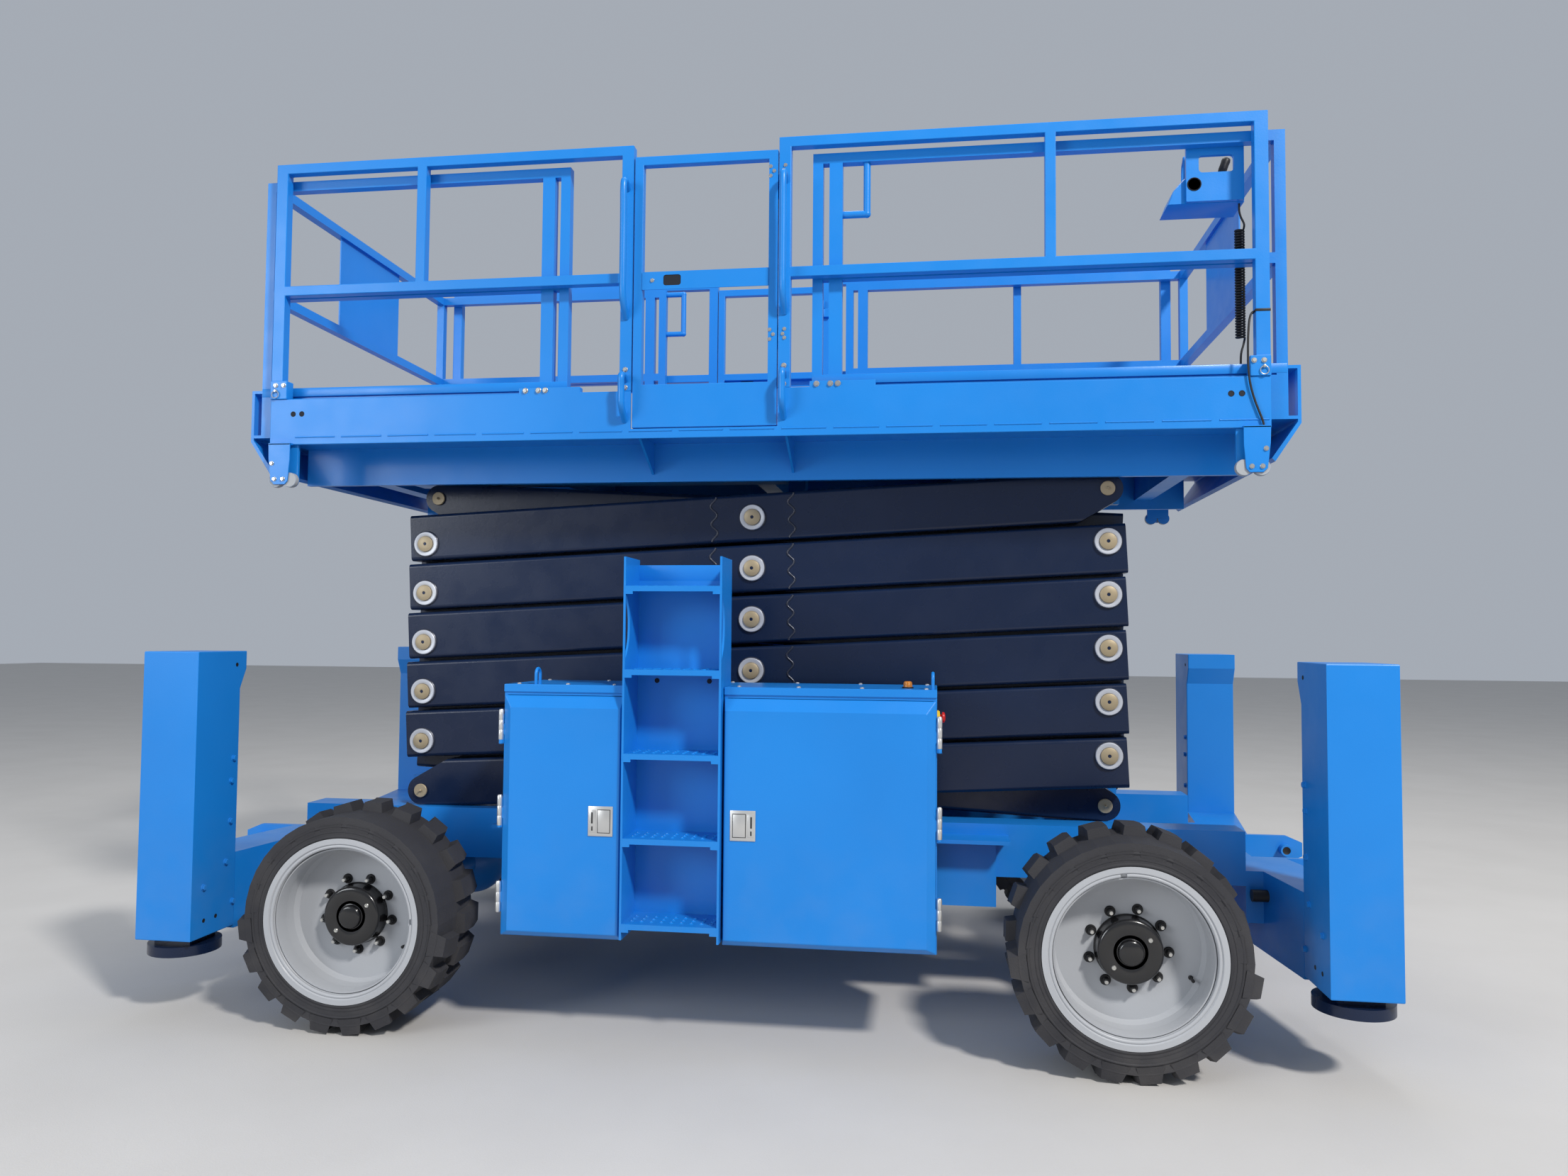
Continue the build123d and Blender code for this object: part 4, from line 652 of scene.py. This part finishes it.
for side in (-1, 1):
    out = (0, side, 0)
    for end in (-1, 1):
        for x in (post_x, 1.915):
            post_bolts += bolt((end * x, side * sleeve_face, sleeve_bolt_z), out, 0.009)
        turn = np.linspace(0, 2 * np.pi, 33)
        ring_x = end * post_x + ring_radius * np.cos(turn)
        ring = np.stack([ring_x, np.full(33, side * ring_y), ring_z + ring_radius * np.sin(turn)], -1)
        pull_rings.append(swept(ring, ring_wire, 8, (0.0, 1.0, 0.0)))
        pull_rings.append(turned(pin_head, (end * post_x, 0, pin_z), out, 18))
    for x in (-0.459, 0.176):
        for z in (2.541, 2.469):
            post_bolts += bolt((x, side * fascia_face, z), out, 0.0095)
        for bar in (tall_bar, short_bar):
            line = eased([(x, side * y, z) for y, z in bar])
            handles.append(swept(line, handle_thick, 16, (1.0, 0.0, 0.0)))
piece("post_bolts", post_bolts, zinc, "platform", 30)
piece("pull_rings", pull_rings, zinc, "platform")
grab_bars = piece("grab_handle_bars", handles, azure, "platform", 60)
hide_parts("grab_handles")

# Each gate hangs on two bolted leaf hinges and has a deep pressed mid rail with a finger slot for the
# latch behind it. A thin dark sheet behind the slot is painted shade for the dark inside it.
rail_back, rail_face, leaf_face, leaf_heights = 0.8630, 0.8668, 0.864, (3.315, 2.666)
rail_edge = rounded_loop((-0.3955, 2.859), (0.1125, 2.9305), 0.003)
slot_edge = rounded_loop((-0.309, 2.874), (-0.238, 2.917), 0.010)
slot_shade_edge = rounded_loop((-0.311, 2.872), (-0.236, 2.919), 0.010)
for side, near in ((-1, "near"), (1, "far")):
    out = (0, side, 0)
    gate = "gate_" + near
    rail = pierced(rail_edge, slot_edge, side * rail_back, side * rail_face)
    piece("gate_latch_rail_" + near, [rail], azure, gate, 30)
    # The sheet behind the slot is painted shade.
    slot_shade = extruded(slot_shade_edge, side * 0.8632, side * 0.8646, 0.0004)
    piece("gate_slot_shade_" + near, [slot_shade], painted_shade_dark, gate)
    leaf_bolts = bolt((-0.354, side * rail_face, 2.896), out, 0.0075)
    hinge_bolts = []
    for z in leaf_heights:
        for x, step in ((0.118, 0.019), (0.132, 0.0), (0.118, -0.019)):
            leaf_bolts += bolt((x, side * leaf_face, z + step), out, 0.0068)
        for x, step in ((0.177, 0.019), (0.170, 0.0), (0.177, -0.016)):
            hinge_bolts += bolt((x, side * fascia_face, z + step), out, 0.0068)
    piece("gate_bolts_" + near, leaf_bolts, zinc, gate, 30)
    piece("gate_post_bolts_" + near, hinge_bolts, zinc, "platform", 30)

# A toe rail with a recessed web runs along each side of both extensions, just over the top edge of the
# fascia. Both are one folded strip, welded to the posts of the extension's rails.
rail_low, rail_high = (0.7975, 2.4765), (0.8165, 2.5135)
web_low, web_high = (0.7985, 2.4640), (0.8040, 2.4800)
for name, rail_from, rail_to in (("rear", -2.049, -0.716), ("front", 0.281, 2.049)):
    toe_rails = []
    for side in (-1, 1):
        rail = np.array(((rail_from, *rail_low), (rail_to, *rail_high))) * (1, side, 1)
        toe_rails.append(rounded_block(rail.min(0), rail.max(0), 0.003, 2))
        web = np.array(((rail_from, *web_low), (rail_to, *web_high))) * (1, side, 1)
        toe_rails.append(rounded_block(web.min(0), web.max(0), 0.001, 1))
    piece("toe_rails_" + name, toe_rails, azure, name + "_extension", 30)

# The control box is a folded sheet wedge on a pierced bracket plate under the extension's rail. A joystick
# in a rubber boot stands on it beside a stop button, toggle switches and a loop of round bar.
box_body, box_top, bracket_y = "front_extension", 3.250, -0.774
stick_foot, stick_lean = (1.838, -0.665, 3.241), (0.36, 0.0, 1.0)
boot_rubber = sprayed("boot_rubber", (0.012, 0.012, 0.013), (0.020, 0.020, 0.021), 0.7, coat=0.0)
grip_plastic = sprayed("grip_plastic", (0.014, 0.014, 0.015), (0.022, 0.022, 0.024), 0.42, coat=0.0)
wedge = [(1.640, 3.150), (1.916, 3.150), (1.920, 3.156), (1.920, 3.232), (1.912, 3.238), (1.80, 3.240)]
wedge += [(1.775, box_top), (1.706, box_top), (1.698, 3.247), (1.660, 3.202)]
bracket_edge = rounded_loop((1.704, 3.152), (1.914, 3.3945), 0.004)
window = rounded_loop((1.750, 3.262), (1.878, 3.328), 0.014)
bar_loop = [(1.712, -0.70, 3.246), (1.712, -0.70, 3.345), (1.712, -0.70, 3.360)]
bar_loop += [(1.722, -0.64, 3.360), (1.722, -0.62, 3.345), (1.722, -0.62, 3.246)]
shell = [
    extruded(wedge, -0.754, -0.596, 0.004),
    pierced(bracket_edge, window, bracket_y, -0.756),
    rounded_block((1.640, -0.752, 3.1502), (1.920, -0.597, 3.1535), 0.0012, 2),
    swept(eased(bar_loop), 0.004, 10, (1.0, 0.0, 0.0)),
]
box_shell = piece("control_box_shell", shell, azure, box_body, 30)
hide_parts("control_box")
# The socket on the bracket plate is a flat dark disc in a low rim, painted shade for its opening.
socket = [(0, 0.0), (0.0225, 0.0), (0.0225, 0.0008), (0.0245, 0.0022), (0.0262, 0.0014)]
socket += [(0.0265, 0.0), (0.0265, -0.002), (0, -0.002)]
socket_shade_sheet = turned(socket, (1.733, bracket_y, 3.218), (0, -1, 0), 36)
piece("box_socket_shade", [socket_shade_sheet], painted_shade_dark, box_body)
ripple = np.linspace(0, 1, 26)
folds = np.stack([0.031 - 0.019 * ripple + 0.0032 * np.cos(ripple * 25), 0.004 + 0.040 * ripple], -1)
boot = np.concatenate([[(0, -0.004), (0.037, -0.004), (0.037, 0.004)], folds, [(0, 0.045)]])
grip = [(0.009, 0.040), (0.0105, 0.055), (0.0150, 0.066), (0.0165, 0.080), (0.0160, 0.100)]
grip += [(0.0170, 0.112), (0.015, 0.121), (0.008, 0.125), (0, 0.1255)]
boot_sheet = turned(boot, stick_foot, stick_lean, 36)
grip_sheet = turned(grip, stick_foot, stick_lean, 28)
piece("joystick_boot", [boot_sheet], boot_rubber, box_body, 60)
piece("joystick_grip", [grip_sheet], grip_plastic, box_body, 50)
toggle = [(0, 0), (0.010, 0), (0.010, 0.004), (0.0065, 0.007), (0.0060, 0.012)]
toggle += [(0.0035, 0.020), (0.0042, 0.030), (0, 0.032)]
switches = []
for x, y in ((1.738, -0.725), (1.765, -0.725), (1.738, -0.655)):
    switches.append(turned(toggle, (x, y, box_top - 0.001), (0, 0, 1), 16))
piece("box_switches", switches, grip_plastic, box_body)
stop_sheet = turned(button, (1.755, -0.620, box_top - 0.010), (0, 0, 1), 32)
piece("box_stop", [stop_sheet], red, box_body)

# The control cable leaves the box straight down, is coiled like a spring over its middle, and goes on to
# the floor of the front extension. It is black jacketed wire, and a smooth bend runs a little inside
# the route's points, so its length is a share of theirs.
cable_x, cable_y, box_foot, floor_top = 1.905, -0.735, 3.150, 2.3164
coil_top, coil_foot, coil_turns, coil_reach = 3.050, 2.630, 40, 0.0155
cable_thick, bend_share = 0.008, 0.98
jacket = sprayed("cable_jacket", (0.010, 0.010, 0.011), (0.016, 0.016, 0.017), 0.55, coat=0.0)
spiral = np.linspace(0, 1, coil_turns * 14 + 1)
angle = 2 * np.pi * coil_turns * spiral
drop = coil_top + (coil_foot - coil_top) * spiral
coil = np.stack([coil_reach * np.cos(angle), coil_reach * np.sin(angle), drop], -1)
lead = [(1.0, 0.012, 0.012), (0.8, 0.010, 0.025), (0.3, 0.004, 0.045), (0.0, 0.0, 0.070)]
lead_in = [(0, 0, box_foot), (0, 0, 3.135)]
lead_in += [(coil_reach * out, -back, coil_top + rise) for out, back, rise in lead[::-1]]
lead_out = [(coil_reach * out, back, coil_foot - rise) for out, back, rise in lead]
lead_out += [(0, 0, 2.500), (0, 0, 2.410), (0, 0, floor_top)]
route = np.concatenate([lead_in, coil, lead_out]) + (cable_x, cable_y, 0)


def jacketed(name, route, body):
    """A round jacketed wire: a smooth curve through the route's run of points, as thick as the cable."""
    cable = bpy.data.curves.new(name, "CURVE")
    cable.dimensions = "3D"
    line = cable.splines.new("NURBS")
    line.points.add(len(route) - 1)
    line.points.foreach_set("co", np.concatenate([route, np.ones((len(route), 1))], 1).ravel())
    line.order_u = 3
    line.use_endpoint_u = True
    cable.resolution_u = 3
    cable.bevel_depth = cable_thick / 2
    cable.bevel_resolution = 2
    cable.use_fill_caps = True
    cable.materials.append(jacket)
    made = bpy.data.objects.new(name, cable)
    bpy.context.collection.objects.link(made)
    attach(made, body)
    return made, float(np.linalg.norm(np.diff(route, axis=0), axis=1).sum())


control_coil, coil_length = jacketed("control_cable_coil", route, "front_extension")
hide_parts("control_cable")

# A second cable is strapped to the near front corner post. It hangs down outside the sleeve and the fascia
# and goes in over the roller bracket.
post_route = [(1.926, -0.850, 2.700), (1.912, -0.854, 2.694), (1.902, -0.862, 2.665)]
post_route += [(1.895, -0.872, 2.600), (1.892, -0.879, 2.540), (1.892, -0.880, 2.490)]
post_route += [(1.897, -0.879, 2.430), (1.912, -0.877, 2.370), (1.932, -0.877, 2.315)]
post_route += [(1.943, -0.877, 2.285), (1.945, -0.877, 2.2695)]
post_route = eased(post_route, 2)
post_cable, post_length = jacketed("corner_post_cable", post_route, "platform")
strap = rounded_block((1.9236, -0.8694, 2.695), (1.9764, -0.8266, 2.705), 0.001, 2)
piece("cable_strap", [strap], jacket, "platform")

# The floor is plain pale concrete. The light is a soft studio light from high on the right, with a weaker
# one from the left, one from above, and an even surround.
floor_half, surround_tone, surround_level = 40, (0.82, 0.89, 1.0), 0.46
grid = np.linspace(-floor_half, floor_half, 2)
corners = np.stack(np.meshgrid(grid, grid), -1).reshape(-1, 2)
floor_mesh = bpy.data.meshes.new("studio_floor")
floor_mesh.from_pydata([(x, y, 0.0) for x, y in corners.tolist()], [], [(0, 1, 3, 2)])
studio_floor = bpy.data.objects.new("studio_floor", floor_mesh)
bpy.context.collection.objects.link(studio_floor)
concrete = sprayed("pale_concrete", (0.53, 0.515, 0.495), (0.55, 0.535, 0.515), 0.8, peel=0.3, coat=0)
floor_mesh.materials.append(concrete)

world = bpy.data.worlds.new("studio_surround")
bpy.context.scene.world = world
world.use_nodes = True
surround = world.node_tree.nodes["Background"]
surround.inputs["Color"].default_value = (*surround_tone, 1)
surround.inputs["Strength"].default_value = surround_level


def facing(place, across, top, back):
    """A placing from a position and three square directions: to the right, up, and backwards."""
    stand = np.eye(4)
    stand[:3, 0], stand[:3, 1], stand[:3, 2], stand[:3, 3] = across, top, back, place
    return Matrix(stand.tolist())


def soft_light(name, place, target, size, power, colour):
    """An area light at a place, with its face turned to a target point."""
    lamp = bpy.data.lights.new(name, "AREA")
    lamp.shape = "DISK"
    lamp.size = size
    lamp.energy = power
    lamp.color = colour
    holder = bpy.data.objects.new(name, lamp)
    bpy.context.collection.objects.link(holder)
    aim = np.subtract(target, place)
    back = -aim / np.linalg.norm(aim)
    across = np.cross((0, 0, 1), back)
    across = across / np.linalg.norm(across)
    holder.matrix_world = facing(place, across, np.cross(back, across), back)


soft_light("key", (8.5, -10.0, 12.0), (0, 0, 1.4), 1.8, 2500, (1.0, 0.97, 0.93))
soft_light("fill", (-8.0, -9.0, 4.5), (0, 0, 1.2), 5.0, 480, (0.92, 0.96, 1.0))
soft_light("top", (0.5, 2.0, 11.0), (0, 0.2, 1.6), 6.0, 350, (1.0, 1.0, 1.0))

# The camera stands off the near side, right of the middle and at about eye height. It is turned a little
# left, tipped up a little, and rolled by less than half a degree.
film_width, focal_pixels, picture_width = 36.0, 1537.36, 2212
eye, pitch, yaw, roll = (0.7635, -5.0188, 1.4902), 0.04407, 0.13876, 0.007766
view = bpy.data.cameras.new("photo_view")
view.sensor_fit = "HORIZONTAL"
view.sensor_width = film_width
view.lens = film_width * focal_pixels / picture_width
view.clip_end = 200
photo_view = bpy.data.objects.new("photo_view", view)
bpy.context.collection.objects.link(photo_view)
right = np.array((np.cos(yaw), np.sin(yaw), 0))
level = np.array((-np.sin(yaw), np.cos(yaw), 0))
up = np.array((0, 0, 1.0))
ahead = level * np.cos(pitch) + up * np.sin(pitch)
rising = up * np.cos(pitch) - level * np.sin(pitch)
across = right * np.cos(roll) + rising * np.sin(roll)
top = rising * np.cos(roll) - right * np.sin(roll)
photo_view.matrix_world = facing(eye, across, top, -ahead)
bpy.context.scene.camera = photo_view
bpy.context.scene.view_settings.view_transform = "Standard"
